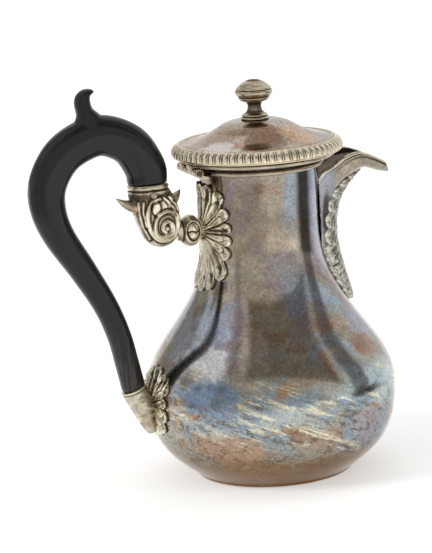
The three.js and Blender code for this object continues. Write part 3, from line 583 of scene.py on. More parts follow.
def make_knuckle():
    """The bead that joins the cup to the neck, with a small scroll face on each flank."""
    back, radius = smooth_line(KNUCKLE_OUTLINE, 110).T[..., None]
    rings = -0.5 * bump(back - 28.7, 0.3) - 0.5 * bump(back - 36.2, 0.3)
    radius = radius + rings
    angle = np.linspace(0, 2 * np.pi, 120, endpoint=False)
    y = radius * np.sin(angle) * 0.86
    z = KNUCKLE_HEIGHT + radius * np.cos(angle)
    across, up = back - 32.3, z - 108.9
    ring = np.hypot(across, up / 1.4)
    face = 0.65 * bump(ring - 3.35, 0.3) - 0.55 * bump(ring - 2.7, 0.28)
    face += 0.55 * bump(np.hypot(across / 1.7, (up - 1.9) / 1.5), 1.0)
    face += 0.4 * bump(np.hypot(across / 1.5, (up + 1.9) / 1.2), 1.0)
    face -= 0.75 * bump(up - 0.3 * np.sin(across * 1.6), 0.3) * smoothstep(3.0, 2.2, ring)
    face -= 0.45 * bump(np.hypot(across + 0.9, up - 2.0), 0.45)
    flank = smoothstep(0.45, 0.75, np.abs(np.sin(angle)))
    y = y + np.sign(y) * face * flank
    # Painted shade darkens the lower half of each flank.
    relief_and_shade = np.clip(0.5 + 0.62 * face * flank + 0.9 * rings - 0.12 * smoothstep(0, -2, up) * flank, 0, 1)
    grid = np.stack([np.broadcast_to(-back, y.shape), y, z], -1)
    return tube_piece("knuckle_bead", grid, relief_and_shade, sharp_angle=60)


# Handle


HANDLE_LINE = [  # back, height, thickness in the plane, thickness across
    (49.8, 131.1, 17, 13.8), (50.6, 138.1, 17.6, 14.2), (56.7, 148.1, 17.6, 14.5), (67.8, 153.4, 17.3, 14.4),
    (77.8, 151.7, 17.2, 14.2), (87.1, 145.8, 16.8, 13.7), (93.3, 135.4, 16.2, 13.4), (93.8, 124.8, 15, 12.8),
    (89.9, 113.1, 13.3, 11.9), (80.65, 97.4, 11.7, 11), (71.85, 81.1, 10.5, 10.3), (66.8, 67.3, 10.2, 10),
    (64.2, 55.1, 10.2, 10), (61.9, 43.6, 10.2, 10),
]
THUMB_CURL = [  # rear edge, front edge, half width
    (81.2, 155, 65.4, 156.4, 6.4), (80.7, 157.1, 65.9, 158.5, 6.2), (78.9, 161.9, 68.9, 162.8, 5.3),
    (79, 164.7, 71.7, 165.5, 4.7), (79.4, 167.8, 72.4, 168.4, 4.3), (78.4, 171.1, 72.5, 170.1, 3.9),
    (75.9, 173.2, 72.1, 171, 3.4), (73, 173.7, 71.5, 171.3, 2.9), (70.6, 173, 70.9, 171.6, 1.9),
]
HANDLE_VOXEL = 0.55


def make_handle():
    """The wood: a swept oval with a thumb curl grown out of its crown."""
    rows = smooth_line(HANDLE_LINE, 300)
    centres = behind(rows[:, :2])
    grid = oval_loops(centres, square_to(centres), rows[:, 2] / 2, rows[:, 3] / 2, 72, OVAL_POWER)
    grid[0, :, 2] = HANDLE_LINE[0][1]
    wood = Shape()
    wood.add_tube(grid)
    rows = smooth_line(THUMB_CURL, 70)
    rear, front = behind(rows[:, :2]), behind(rows[:, 2:4])
    chord = front - rear
    length = np.linalg.norm(chord, axis=1)
    wood.add_tube(oval_loops((rear + front) / 2, chord / length[:, None], length / 2, rows[:, 4], 48))
    piece = wood.build("wood_handle", sharp_angle=180)
    remesh = piece.modifiers.new("join", "REMESH")
    remesh.mode = "VOXEL"
    remesh.voxel_size = HANDLE_VOXEL * MM
    relax = piece.modifiers.new("relax", "SMOOTH")
    relax.factor, relax.iterations = 0.5, 8
    graph = bpy.context.evaluated_depsgraph_get()
    mesh = bpy.data.meshes.new_from_object(piece.evaluated_get(graph))
    piece.modifiers.clear()
    piece.data = mesh
    shade_smooth(mesh)
    return piece


# Lower socket


LOWER_LINE = [(62, 44, 5.7), (61.2, 41.8, 5.7), (60.2, 39.6, 5.6), (58.1, 34.9, 5.3), (56.4, 29.8, 4.5),
              (55.2, 25.6, 3.2), (54.6, 23.8, 2.2)]


def make_lower_socket():
    """The tapered cup at the wood's lower end, with a ring at its mouth and a bead lower down."""
    rows = smooth_line(LOWER_LINE, 90)
    centres = behind(rows[:, :2])
    t = np.linspace(0, 1, len(rows))
    ring = 0.42 * bump(t - 0.03, 0.03) - 0.15 * bump(t - 0.09, 0.02) + 0.4 * bump(t - 0.62, 0.025)
    half = rows[:, 2] - 0.2 + ring
    grid = oval_loops(centres, square_to(centres), half, half, 80)
    return tube_piece("lower_cup", grid, np.clip(0.42 + ring, 0, 1)[:, None])


def make_pin(name, node, stand=0.25):
    """A cross pin with low domed heads, at the place of its CAD node."""
    low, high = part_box(node)
    centre = (low + high) / 2 / MM
    reach = (high.y - low.y) / 2 / MM
    radius = (high.z - low.z) / 2 / MM
    outline = [(0.02, reach + stand), (radius * 0.9, reach + stand * 0.75),
               (radius * 1.45, reach + stand * 0.2), (radius * 1.55, reach - 0.3), (radius, reach - 0.5)]
    lathe = turned(outline + [(r, -h) for r, h in outline[::-1]], 32)
    return tube_piece(name, lathe[..., [0, 2, 1]] + np.array(centre), 0.36, (0.42, 0.42))


# Lid


LID_RADIUS, BORDER_TOP, BORDER_BOTTOM, BORDER_WIDTH = 36.7, 144.3, 138.9, 3.1
DOME_TOP, DOME_SHEET = 153.0, 1.0
GADROONS, GADROON_SEGMENTS = 68, 20
HALF_NOTCH, NOTCH_RADIUS = 15, 28.6
BEZEL_FOOT = 130.8
DOME_OUTLINE = [
    (1.8, 153), (6.2, 153), (8.6, 152.9), (10.9, 152.5), (13.8, 151.6), (16, 150.4), (18.8, 148.7),
    (21.4, 147.3), (24, 146.1), (28, 144.9), (31, 144.3), (33.2, 143.9),
]


def make_dome():
    """The lid's sheet, with a shallow fillet near its border."""
    outer = smooth_line(DOME_OUTLINE, 120)
    outer[:, 1] += 0.22 * bump(outer[:, 0] - 31.6, 0.35) - 0.12 * bump(outer[:, 0] - 30.9, 0.3)
    inner = outer[::-1] - [0, DOME_SHEET]
    shape = Shape()
    shape.add_grid(turned(np.vstack([outer, inner, outer[:1]]), ROUND), wrap_cols=True)
    return shape.build("lid_sheet")


def make_border():
    """The cast border: gadroons with a thin ridge between each two, over a plain wire."""
    inner, outer, top, bottom = LID_RADIUS - BORDER_WIDTH, LID_RADIUS, BORDER_TOP, BORDER_BOTTOM
    fillet = shifted([(-0.35, -0.9), (-0.3, -0.25), (0.1, 0), (0.5, -0.15)], inner, top)
    rows = 40
    bank = bezier([(inner + 0.6, top - 0.35), (outer - 1.2, top - 1.0), (outer + 0.1, bottom + 3.1),
                   (outer - 0.2, bottom + 0.85)], rows)
    wires = shifted([(-0.75, 0.72), (-0.5, 0.55), (-0.45, 0.3), (-0.75, 0.05), (-1.8, 0)], outer, bottom)
    outline = np.vstack([fillet, bank, wires, [(inner, bottom + 0.3)], fillet[:1]])
    along, on_bank = np.zeros((2, len(outline), 1))
    banked = slice(len(fillet), len(fillet) + rows)
    along[banked, 0] = np.linspace(0, 1, rows)
    on_bank[banked, 0] = np.sin(np.pi * np.linspace(0.02, 0.98, rows)) ** 0.3
    segments = GADROONS * GADROON_SEGMENTS
    angles = np.linspace(0, 2 * np.pi, segments, endpoint=False)
    phase = (angles * GADROONS / (2 * np.pi)) % 1.0
    off = np.minimum(phase, 1 - phase) * 2
    ends = (along - 0.01) / 0.1, (1.03 - along) / 0.08
    opening, closing = (np.sqrt(np.clip(end, 0.001, 1)) for end in ends)
    half = 0.66 * opening * closing
    tongue = np.sqrt(np.clip(1 - (off / half) ** 2, 0, 1))
    height = (-0.55 + (0.55 + 0.3 * along) * tongue + 0.5 * bump(1 - off, 0.19)) * on_bank
    rise = np.clip(1 - along * 1.3, 0, 1) * on_bank
    outward = np.stack([np.cos(angles), np.sin(angles), np.zeros(segments)], -1)
    grid = turned(outline, segments) + outward * (height * (1 - 0.5 * rise))[..., None]
    grid[..., 2] += height * 0.9 * rise
    # Painted shade darkens the upper part of each tongue.
    shade = 0.1 * tongue * smoothstep(0.75, 0.3, along) * smoothstep(0.0, 0.12, along)
    relief_and_shade = np.clip(0.62 + 0.9 * height - shade + 0.12 * (1 - on_bank), 0, 1)
    shape = Shape()
    shape.add_grid(grid, relief_and_shade, wrap_cols=True)
    return shape.build("gadroon_border", sharp_angle=70)


def make_seat_ring():
    """The wire under the border, with the bezel that drops into the mouth, and a notch for the hinge."""
    outer, bottom, top, foot = 33.2, MOUTH_HEIGHT + 0.3, MOUTH_HEIGHT + 1.5, BEZEL_FOOT
    bezel = float(body_radius(foot)) - WALL - 0.7
    wire = arc_points((outer - 0.9, bottom + 0.75), (0.9, 0.85), 1.4, -2.0)
    drop = [(bezel, bottom), (bezel, foot), (bezel - 1, foot), (bezel - 1, top)]
    full = [drop[-1], (outer - 2.2, top), *wire, (outer - 2.4, bottom), *drop]
    notched = [drop[-1], (NOTCH_RADIUS, top), (NOTCH_RADIUS, bottom), *drop]
    shape = Shape()
    shape.add_arc(turned(full, ROUND, 180 + HALF_NOTCH, 540 - HALF_NOTCH))
    shape.add_arc(turned(notched, 40, 180 - HALF_NOTCH, 180 + HALF_NOTCH))
    return shape.build("lid_wire_and_bezel")


KNOP = [  # radius and height above the dome
    (5.6, 0.1), (6, 0.35), (6.05, 0.8), (5.7, 1.15), (5.2, 1.25), (5.35, 1.5), (5.55, 1.85), (5.3, 2.25),
    (4.7, 2.5), (4, 2.9), (3.4, 3.5), (3.05, 4.4), (2.9, 5.4), (3, 6.4), (3.5, 7.2), (4.6, 7.7), (5.8, 8.1),
    (6.5, 8.7), (6.75, 9.3), (6.5, 9.7), (6.9, 9.9), (7.6, 10.4), (8, 11.2), (8.1, 11.9), (7.8, 12.5),
    (7.3, 12.8), (7.45, 13.1), (7.5, 13.5), (7.1, 13.85), (6.5, 14.3), (5.6, 15.1), (4.2, 16), (2.4, 16.7),
    (0.9, 16.95), (0.05, 17),
]


def make_knop():
    """The turned knop, darker in its hollows."""
    outline = smooth_line(KNOP, 200) + [0, DOME_TOP]
    curve = np.gradient(np.gradient(outline[:, 0]))
    return tube_piece("knop_turned", turned(outline, 96), np.clip(0.47 - curve * 26, 0, 1)[:, None])


# Hinge


HINGE_BACK, HINGE_HEIGHT, HINGE_WIDTH = 30.6, 134.5, 25.0
BARREL_RADIUS, BORE_RADIUS = 1.9, 1.1
KNUCKLES = 5
KNUCKLE_GAP = 0.3
HINGE_SIDES = [  # body, then lid: the strap under each knuckle, the plate that joins them, and its half width
    ([(26.2, 131), (29, 131.6), (31.3, 132.9), (31.9, 134), (30.2, 133.9), (26.4, 132.9)],
     [(25.9, 131.2), (28.6, 131.8), (28.8, 132.5), (26, 132.6)], HINGE_WIDTH / 2 - 0.4),
    ([(29.4, 135.2), (29.3, 137.5), (32.6, 137.7), (33.1, 136.6), (32.3, 135), (30.8, 134.9)],
     [(28.7, 136.5), (28.9, 137.6), (32.2, 137.7), (32.3, 136.75), (30.4, 136.7)], HINGE_WIDTH * 0.3 - 0.2),
]


def add_barrel(shape, low, high):
    """One knuckle, a short tube with softened ends, along Y."""
    lower = shifted([(-0.35, 0), (-0.08, 0.15), (0, 0.45)], BARREL_RADIUS, low)
    upper = shifted([(0, -0.45), (-0.08, -0.15), (-0.35, 0)], BARREL_RADIUS, high)
    middle = (BARREL_RADIUS - 0.05, (low + high) / 2)
    outline = [(BORE_RADIUS, low), *lower, middle, *upper, (BORE_RADIUS, high), (BORE_RADIUS, low)]
    shade = np.array([0.2, 0.55, 0.7, 0.62, 0.45, 0.62, 0.7, 0.55, 0.2, 0.2])
    grid = turned(outline, 48)[..., [0, 2, 1]] + [-HINGE_BACK, 0, HINGE_HEIGHT]
    shape.add_grid(grid, shade[:, None], wrap_cols=True)


def add_plate(shape, profile, half, shade, centre=0.0):
    """A plate along Y with the given side view, whose ends are rounded over."""
    profile = smooth_line(profile + profile[:1], 49)[:-1]
    middle = profile.mean(0)
    stations = half * np.sin(np.linspace(-np.pi / 2, np.pi / 2, 41))
    inset = 1 - 0.5 * (1 - np.sqrt(np.clip(1 - (np.abs(stations) / half) ** 14, 0, 1)))
    spread = profile - middle
    rows = [behind(middle + spread * share) + [0, y + centre, 0] for y, share in zip(stations, inset)]
    shape.add_tube(np.array(rows), shade, (shade, shade))


def make_hinge_side(name, side):
    """The knuckles of the body or of the lid, which take turns along the barrel, with what carries them."""
    shape = Shape()
    strap, plate, half_plate = HINGE_SIDES[side]
    pitch = HINGE_WIDTH / KNUCKLES
    length = pitch - KNUCKLE_GAP
    for i in range(side, KNUCKLES, 2):
        low = -HINGE_WIDTH / 2 + i * pitch + KNUCKLE_GAP / 2
        add_barrel(shape, low, low + pitch - KNUCKLE_GAP)
        add_plate(shape, strap, length / 2, 0.5, low + length / 2)
    add_plate(shape, plate, half_plate, 0.4)
    return shape.build(name)


# Materials


class Nodes:
    """The node tree of a material or world, with short calls for the nodes used here."""

    def __init__(self, owner, coordinates="Object", empty=False):
        owner.use_nodes = True
        self.owner, self.tree = owner, owner.node_tree
        if empty:
            self.tree.nodes.clear()
        self.place = self.new("TexCoord").outputs[coordinates]

    def plug(self, socket, value):
        """Gives a socket a number, a colour, a vector, or another node's output."""
        if isinstance(value, bpy.types.Node):
            value = value.outputs[0]
        if isinstance(value, bpy.types.NodeSocket):
            self.tree.links.new(value, socket)
        else:
            socket.default_value = (*value, 1.0) if socket.type == "RGBA" else value

    def new(self, kind, *given, **settings):
        """A node with its settings, and with its first inputs given in order."""
        node = self.tree.nodes.new("ShaderNode" + kind)
        for key, value in settings.items():
            setattr(node, key, value)
        for socket, value in zip(node.inputs, given):
            self.plug(socket, value)
        return node

    def give(self, node, **values):
        """Fills named sockets, whose spaces are written as underscores, and leaves out what is None."""
        for name, value in values.items():
            if value is not None:
                self.plug(node.inputs[name.replace("_", " ")], value)
        return node.outputs

    def vector(self, operation, *given):
        return self.new("VectorMath", *given, operation=operation).outputs

    def math(self, operation, *given):
        return self.new("Math", *given, operation=operation).outputs[0]

    def times(self, a, b):
        return self.math("MULTIPLY", a, b)

    def plus(self, a, b):
        return self.math("ADD", a, b)

    def axis(self, name):
        return self.new("SeparateXYZ", self.place).outputs[name]

    def stretched(self, scale, turn=(0, 0, 0), move=(0, 0, 0)):
        return self.new("Mapping", self.place, move, turn, scale).outputs[0]

    def swept(self, slope, squeeze, move=(0, 0, 0)):
        """Coordinates for streaks that run down to the right, seen from the front, and are narrow across."""
        leaning = self.stretched((1, 1, 1), (0, slope, 0), move)
        return self.new("Mapping", leaning, (0, 0, 0), (0, 0, 0), (1, 1, squeeze)).outputs[0]

    def noise(self, scale, detail, rough=0.6, distortion=0.0, vector=None):
        node = self.new("TexNoise", vector or self.place)
        return self.give(node, Scale=scale, Detail=detail, Roughness=rough, Distortion=distortion)["Fac"]

    def ramp(self, value, stops, interpolation="EASE"):
        node = self.new("ValToRGB", value)
        node.color_ramp.interpolation = interpolation
        elements = node.color_ramp.elements
        while len(elements) < len(stops):
            elements.new(0.5)
        for element, (position, colour) in zip(elements, stops):
            element.position = position
            element.color = (*(colour if isinstance(colour, tuple) else (colour,) * 3), 1.0)
        return node.outputs["Color"]

    def bays(self, turn, colours):
        return self.ramp(turn, [(share, colour) for colour, *shares in colours for share in shares], "LINEAR")

    def mask(self, value, low, high, interpolation="EASE", fades=False):
        """Grows from 0 to 1 between two values, or fades from 1 to 0."""
        return self.ramp(value, [(low, float(fades)), (high, float(not fades))], interpolation)

    def mix(self, factor, a, b, blend="MIX"):
        node = self.new("Mix", data_type="RGBA", blend_type=blend)
        for index, value in ((0, factor), (6, a), (7, b)):
            self.plug(node.inputs[index], value)
        return node.outputs[2]

    def over(self, colour, mask, amount, tint):
        """Lays a tint over a colour, by a share of the mask."""
        return self.mix(self.times(mask, amount), colour, tint)

    def mottled(self, colour, noise, low, high):
        """Darkens and lightens a colour between two stops of a noise."""
        return self.mix(1.0, colour, self.ramp(noise, [low, high]), "MULTIPLY")

    def span(self, value, low, high, to_low=0.0, to_high=1.0):
        node = self.new("MapRange", value, low, high, to_low, to_high, interpolation_type="SMOOTHSTEP")
        return node.outputs["Result"]

    def patch(self, centre, radii):
        """A soft-edged place on the surface, with its centre and half sizes in millimetres."""
        centre, radii = (tuple(amount * MM for amount in amounts) for amounts in (centre, radii))
        offset = self.vector("DIVIDE", self.vector("SUBTRACT", self.place, centre)[0], radii)[0]
        away = self.vector("LENGTH", offset)["Value"]
        edge = self.times(self.plus(self.noise(95, 7, 0.68, 0.8), -0.5), PATCH_RAGGEDNESS)
        return self.span(self.plus(away, edge), 1.15, 0.8)

    def relief_and_shade(self):
        return self.new("Attribute", attribute_name="relief_and_shade").outputs["Fac"]

    def bump(self, height, strength, distance, normal=None):
        node = self.new("Bump")
        return self.give(node, Strength=strength, Distance=distance, Height=height, Normal=normal)["Normal"]

    def finish(self, colour, rough, normal, metallic=1.0, **more):
        """Sets the shader's own sockets."""
        self.give(self.tree.nodes["Principled BSDF"], Base_Color=colour, Roughness=rough, Normal=normal,
                  Metallic=metallic, **more)
        return self.owner


def material(name):
    return Nodes(bpy.data.materials.new(name))


def stained(n, colour, stains):
    """Lays clouds of tarnish over a colour."""
    for scale, detail, rough, distortion, squeeze, move, low, high, amount, tint in stains:
        cloud = n.noise(scale, detail, rough, distortion, n.stretched((1, 1, squeeze), move=move))
        colour = n.over(colour, n.mask(cloud, low, high), amount, tint)
    return colour


def patched(n, colour, patches):
    """Lays placed patches over a colour."""
    for centre, radii, tint, amount in patches:
        colour = n.over(colour, n.patch(centre, radii), amount, tint)
    return colour


PATCH_RAGGEDNESS = 2.2
# A blue patch low on the belly's left: partly blue tarnish, partly a painted reflection of a window.
BLUE_POOL = (-40, -35, 44)
SHOULDER_PATCHES = [  # centre and half sizes in millimetres, colour and amount
    # The next three are bluish near the body's left and right edges: partly blue tarnish, partly painted
    # reflection.
    ((-42, -17, 68), (17, 17, 15), (0.38, 0.42, 0.5), 0.75),
    ((-36, 10, 72), (14, 14, 12), (0.36, 0.4, 0.48), 0.6),
    ((38, -30, 66), (13, 13, 12), (0.42, 0.4, 0.46), 0.6),
    ((33, -35, 58), (10, 10, 5), (0.36, 0.2, 0.14), 0.8),
    ((-22, -40, 64), (9, 9, 14), (0.46, 0.42, 0.36), 0.5),
    # Painted reflection: a pale patch on the belly's left side.
    ((-42, -27, 56), (14, 14, 10), (0.66, 0.64, 0.6), 0.85),
    # Bluish at the neck's right edge: partly blue tarnish, partly painted reflection.
    ((22, -14, 112), (9, 9, 26), (0.36, 0.38, 0.46), 0.6),
]
BELLY_PATCHES = [
    (BLUE_POOL, (14, 14, 9), (0.17, 0.25, 0.38), 0.95),
    # The next two are pale blue on the belly's right: partly blue tarnish, partly a painted reflection of a
    # window.
    ((14, -52, 47), (11, 11, 8), (0.5, 0.6, 0.64), 0.95),
    ((36, -40, 43), (13, 13, 11), (0.5, 0.57, 0.58), 0.8),
    ((-34, -36, 22), (17, 17, 7), (0.43, 0.29, 0.2), 0.9),
    ((2, -50, 24), (12, 12, 5), (0.36, 0.26, 0.2), 0.7),
    ((26, -44, 26), (12, 12, 8), (0.38, 0.33, 0.36), 0.7),
]
# noise scale, detail, roughness, distortion, squeeze, shift, where it starts and is full, amount, colour
BODY_STAINS = [
    (19, 4, 0.6, 1.0, 0.7, (0.3, 0.1, 0.2), 0.5, 0.64, 0.6, (0.29, 0.25, 0.34)),
    (21, 4, 0.6, 1.2, 0.8, (0.6, 0.9, 0.4), 0.52, 0.66, 0.7, (0.26, 0.33, 0.42)),
    (36, 6, 0.65, 1.3, 1, (0.1, 0.35, 0.0), 0.54, 0.66, 0.6, (0.29, 0.155, 0.09)),
]
LID_STAINS = [
    (46, 6, 0.62, 1.4, 1, (0.2, 0.5, 0), 0.48, 0.62, 0.7, (0.42, 0.235, 0.125)),
    (28, 4, 0.6, 0.6, 1, (0.9, 0.1, 0), 0.5, 0.65, 0.4, (0.32, 0.305, 0.3)),
]


def upper_tarnish_and_reflections(n, height, tone):
    """Warm grey with rust, violet and blue clouds, the shoulder's flares, and placed patches of tarnish, some
    of them painted reflections at the edges.
    """
    greys = [(0.34, (0.27, 0.235, 0.185)), (0.48, (0.35, 0.3, 0.235)), (0.62, (0.43, 0.385, 0.315))]
    colour = stained(n, n.ramp(tone, greys), BODY_STAINS)
    shoulder = n.times(n.span(height, 0.046, 0.06), n.span(height, 0.104, 0.08))
    flare = n.noise(23, 6, 0.65, 1.8, n.swept(-0.5, 0.8, (0.15, 0.6, 0.25)))
    colour = n.over(colour, n.mask(flare, 0.53, 0.6), n.times(shoulder, 0.75), (0.3, 0.37, 0.44))
    colour = n.over(colour, n.mask(flare, 0.38, 0.46, fades=True), n.times(shoulder, 0.6), (0.32, 0.17, 0.12))
    return n.mottled(patched(n, colour, SHOULDER_PATCHES), n.noise(120, 6, 0.7, 0.8), (0.3, 0.8), (0.7, 1.18))


def lower_tarnish_and_reflections(n, height):
    """Copper and grey under pools of blue, placed patches of tarnish, some of them also painted reflections
    of a window, dark veins, and pale brush strokes.
    """
    flow = n.swept(-0.4, 2.0)
    copper = n.mask(n.noise(30, 9, 0.7, 1.2, flow), 0.47, 0.52, "LINEAR")
    colour = n.mix(copper, (0.33, 0.32, 0.28), (0.34, 0.225, 0.145))
    pools = n.mask(n.noise(21, 7, 0.62, 1.5, n.swept(-0.35, 1.4, (0.7, 0.4, 0))), 0.485, 0.53, "LINEAR")
    leaning = n.plus(height, n.times(n.axis("X"), 0.2))
    above = n.span(n.plus(leaning, n.times(n.noise(45, 6, 0.7), 0.012)), 0.017, 0.031)
    colour = n.over(colour, n.times(pools, above), 0.85, (0.24, 0.33, 0.41))
    colour = patched(n, colour, BELLY_PATCHES)
    veins = n.mask(n.noise(105, 10, 0.78, 2.2, flow), 0.43, 0.49, "LINEAR", fades=True)
    colour = n.over(colour, veins, n.span(height, 0.05, 0.03, 0.25, 0.8), (0.12, 0.085, 0.065))
    sweeps = n.mask(n.noise(17, 4, 0.6, 0.8, n.swept(-0.4, 2.0, (0.2, 0.8, 0.1))), 0.46, 0.56)
    sweeps = n.times(sweeps, n.plus(n.times(above, 0.85), 0.15))
    sweeps = n.times(sweeps, n.math("SUBTRACT", 1.0, n.times(n.patch(BLUE_POOL, (17, 17, 11)), 0.85)))
    strokes = n.noise(34, 9, 0.75, 0.6, n.swept(-0.38, 5.0, (0.1, 0.2, 0.5)))
    colour = n.over(colour, n.times(n.mask(strokes, 0.5, 0.53, "LINEAR"), sweeps), 0.56, (0.55, 0.59, 0.54))
    hairs = n.noise(50, 7, 0.75, 0.4, n.swept(-0.42, 9.0, (0.4, 0.2, 0.9)))
    return n.over(colour, n.times(n.mask(hairs, 0.54, 0.57, "LINEAR"), sweeps), 0.8, (0.82, 0.76, 0.56))


def body_silver():
    """Worn silver, with tarnish and some painted reflections, one kind above the belly and another below it,
    darker and browner towards the foot, painted shade inside, and painted highlights along the spout's rolled
    edges.
    """
    n = material("body_silver_finish")
    height = n.axis("Z")
    tone = n.noise(24, 4, 0.6, 0.7)
    low = n.span(n.plus(height, n.times(n.noise(30, 5, 0.6), 0.034)), 0.072, 0.06)
    colour = n.over(upper_tarnish_and_reflections(n, height, tone), low, 0.95, lower_tarnish_and_reflections(n, height))
    colour = n.over(colour, n.span(height, 0.022, 0.006), 0.85, (0.215, 0.115, 0.042))
    # Painted shade darkens the inner walls and the spout's inside, and a painted highlight lightens the
    # spout's rolled edges, from the value each point carries.
    depth = n.relief_and_shade()
    colour = n.mix(n.span(depth, 0.5, 0.25, 0.0, 0.8), colour, (0.12, 0.1, 0.08))
    colour = n.mix(n.span(depth, 0.8, 0.95, 0.0, 0.8), colour, (0.72, 0.67, 0.54))
    colour = n.mottled(colour, n.noise(900, 4, 0.7), (0.36, 0.78), (0.62, 1.12))
    rough = n.plus(n.span(tone, 0.3, 0.7, 0.12, 0.07), n.times(n.noise(420, 3, 0.6), 0.07))
    dents = n.bump(n.noise(17, 2, 0.5), 0.2, 0.0015)
    normal = n.bump(n.noise(700, 3, 0.6, 0.0, n.stretched((1, 1, 3))), 0.06, 0.0002, dents)
    return n.finish(colour, rough, normal)


LID_PATCHES = [
    # Painted reflection: the knop's dark reflection in front of it.
    ((-4, -19, 148), (10, 10, 8), (0.22, 0.13, 0.08), 0.85),
    # Painted highlight on the left.
    ((-24, -17, 146), (8, 8, 5), (0.66, 0.62, 0.56), 0.8),
    # Partly copper tarnish, partly a painted highlight, on the right.
    ((14, -17, 148), (8, 8, 6), (0.56, 0.36, 0.22), 0.7),
]


def lid_silver():
    """The lid's sheet: rosy, coppery wear over grey silver, with a painted dark reflection in front of the
    knop and painted highlights beside it.
    """
    n = material("lid_silver_finish")
    cloud = n.noise(34, 5, 0.6, 1.0)
    wear = [(0.34, (0.27, 0.205, 0.155)), (0.5, (0.41, 0.32, 0.25)), (0.66, (0.58, 0.52, 0.45))]
    colour = patched(n, stained(n, n.ramp(cloud, wear), LID_STAINS), LID_PATCHES)
    colour = n.mottled(colour, n.noise(800, 4, 0.7), (0.34, 0.7), (0.64, 1.2))
    rough = n.plus(n.span(cloud, 0.3, 0.7, 0.17, 0.1), n.times(n.noise(500, 3, 0.6), 0.07))
    normal = n.bump(n.noise(800, 3, 0.6), 0.05, 0.0002)
    return n.finish(colour, rough, normal)


def cast_silver(name, rust, bright=(0.92, 0.86, 0.69), dull=(0.7, 0.655, 0.53)):
    """Chased castings: pale on the crests, dark oxide in the recesses, and on some pieces painted shade and
    painted highlights.
    """
    n = material(name)
    pale = n.mix(n.noise(120, 4, 0.6, 0.5), bright, dull)
    pale = n.over(pale, n.mask(n.noise(70, 4, 0.6), 0.5, 0.68), rust, (0.36, 0.25, 0.155))
    # Oxide follows the hollows; on some pieces these values also carry painted shade and painted highlights.
    depth = n.plus(n.relief_and_shade(), n.times(n.plus(n.noise(330, 5, 0.7), -0.5), 0.45))
    colour = n.mix(n.mask(depth, 0.2, 0.56), (0.105, 0.08, 0.055), pale)
    rough = n.ramp(depth, [(0.25, 0.5), (0.65, 0.22)])
    normal = n.bump(n.noise(380, 5, 0.65), 0.16, 0.0003)
    return n.finish(colour, rough, normal)


def plain_silver():
    """Fittings: the wire under the border, with its bezel, and the screw parts."""
    n = material("fitting_silver_finish")
    cloud = n.noise(90, 4, 0.6, 0.4)
    colour = n.ramp(cloud, [(0.3, (0.36, 0.315, 0.25)), (0.7, (0.62, 0.57, 0.48))])
    normal = n.bump(n.noise(600, 4, 0.6), 0.08, 0.0002)
    return n.finish(colour, n.span(cloud, 0.3, 0.7, 0.36, 0.24), normal)


def ebonised_wood():
    """Black stained wood under worn polish, browner along the grain towards its lower end."""
    n = material("ebonised_wood_finish")
    fibres = n.noise(900, 5, 0.6, 0.2, n.stretched((1, 1, 0.06)))
    worn = n.times(n.mask(n.noise(38, 5, 0.6, 0.6), 0.5, 0.75), 0.5)
    lower_brown = n.times(n.span(n.axis("Z"), 0.085, 0.045), n.mask(fibres, 0.42, 0.6))
    colour = n.mix(worn, (0.0055, 0.005, 0.005), (0.015, 0.013, 0.012))
    colour = n.over(colour, lower_brown, 0.7, (0.06, 0.05, 0.042))
    rough = n.plus(n.span(n.noise(60, 4, 0.6), 0.3, 0.7, 0.2, 0.34), n.times(fibres, 0.06))
    return n.finish(colour, rough, n.bump(fibres, 0.08, 0.0002), metallic=0.0, Specular_IOR_Level=0.18,
                    Coat_Weight=0.4, Coat_Roughness=0.04)


# Stage, light and camera


VIEW_TURN = math.radians(CAMERA_AZIMUTH)
AHEAD = (math.sin(VIEW_TURN), -math.cos(VIEW_TURN), 0.0)
ASIDE = (math.cos(VIEW_TURN), math.sin(VIEW_TURN), 0.0)


def facing_pitcher(place):
    return (Vector((0, 0, AIM_HEIGHT)) - place).to_track_quat("-Z", "Y")


def make_camera():
    elevation = math.radians(CAMERA_ELEVATION)
    back = Vector(AHEAD) * math.cos(elevation) + Vector((0, 0, math.sin(elevation)))
    place = Vector((0, 0, AIM_HEIGHT)) + back * CAMERA_DISTANCE
    axes = facing_pitcher(place).to_matrix()
    for axis, angle in (("Y", CAMERA_PAN), ("X", CAMERA_TILT), ("Z", -CAMERA_ROLL)):
        axes = axes @ Matrix.Rotation(math.radians(angle), 3, axis)
    data = bpy.data.cameras.new("camera")
    data.sensor_width = SENSOR
    data.lens = FOCAL_PIXELS * SENSOR / FRAME_HEIGHT_PIXELS
    data.clip_start, data.clip_end = 0.05, 50
    camera = add_object("camera", data)
    camera.matrix_world = axes.to_4x4()
    camera.location = place
    bpy.context.scene.camera = camera


def seen_from_camera(n):
    """How far a place or direction lies toward the camera, to its right and up, and its share of a turn."""
    axes = AHEAD, ASIDE, (0, 0, 1)
    toward, rightward, upward = (n.vector("DOT_PRODUCT", n.place, axis)["Value"] for axis in axes)
    turn = n.plus(n.math("DIVIDE", n.math("ARCTAN2", rightward, toward), 2 * math.pi), 0.5)
    return toward, rightward, upward, turn


# how much of the glow a reflection sees, and where, in shares of a turn from the back, leftward first
FLOOR_BAYS = [
    (1.0, 0.0, 0.16), ((0.5, 0.48, 0.45), 0.2), ((0.56, 0.54, 0.51), 0.495), ((1.0, 0.98, 0.95), 0.545),
    ((1.0, 0.99, 0.97), 0.7), ((0.1, 0.09, 0.08), 0.728, 0.79), ((0.75, 0.78, 0.86), 0.825),
    ((0.98, 0.99, 1.0), 0.86), (1.0, 1.0),
]
FLOOR_HALF, FLOOR_DROP, FLOOR_PAINT = 6.0, 0.0002, 0.86
GLOW_NEAR, GLOW_FAR = 0.405, 0.6
BAYS_START, BAYS_FULL, GLOW_REACH = 0.25, 0.42, 1.3  # metres from the origin


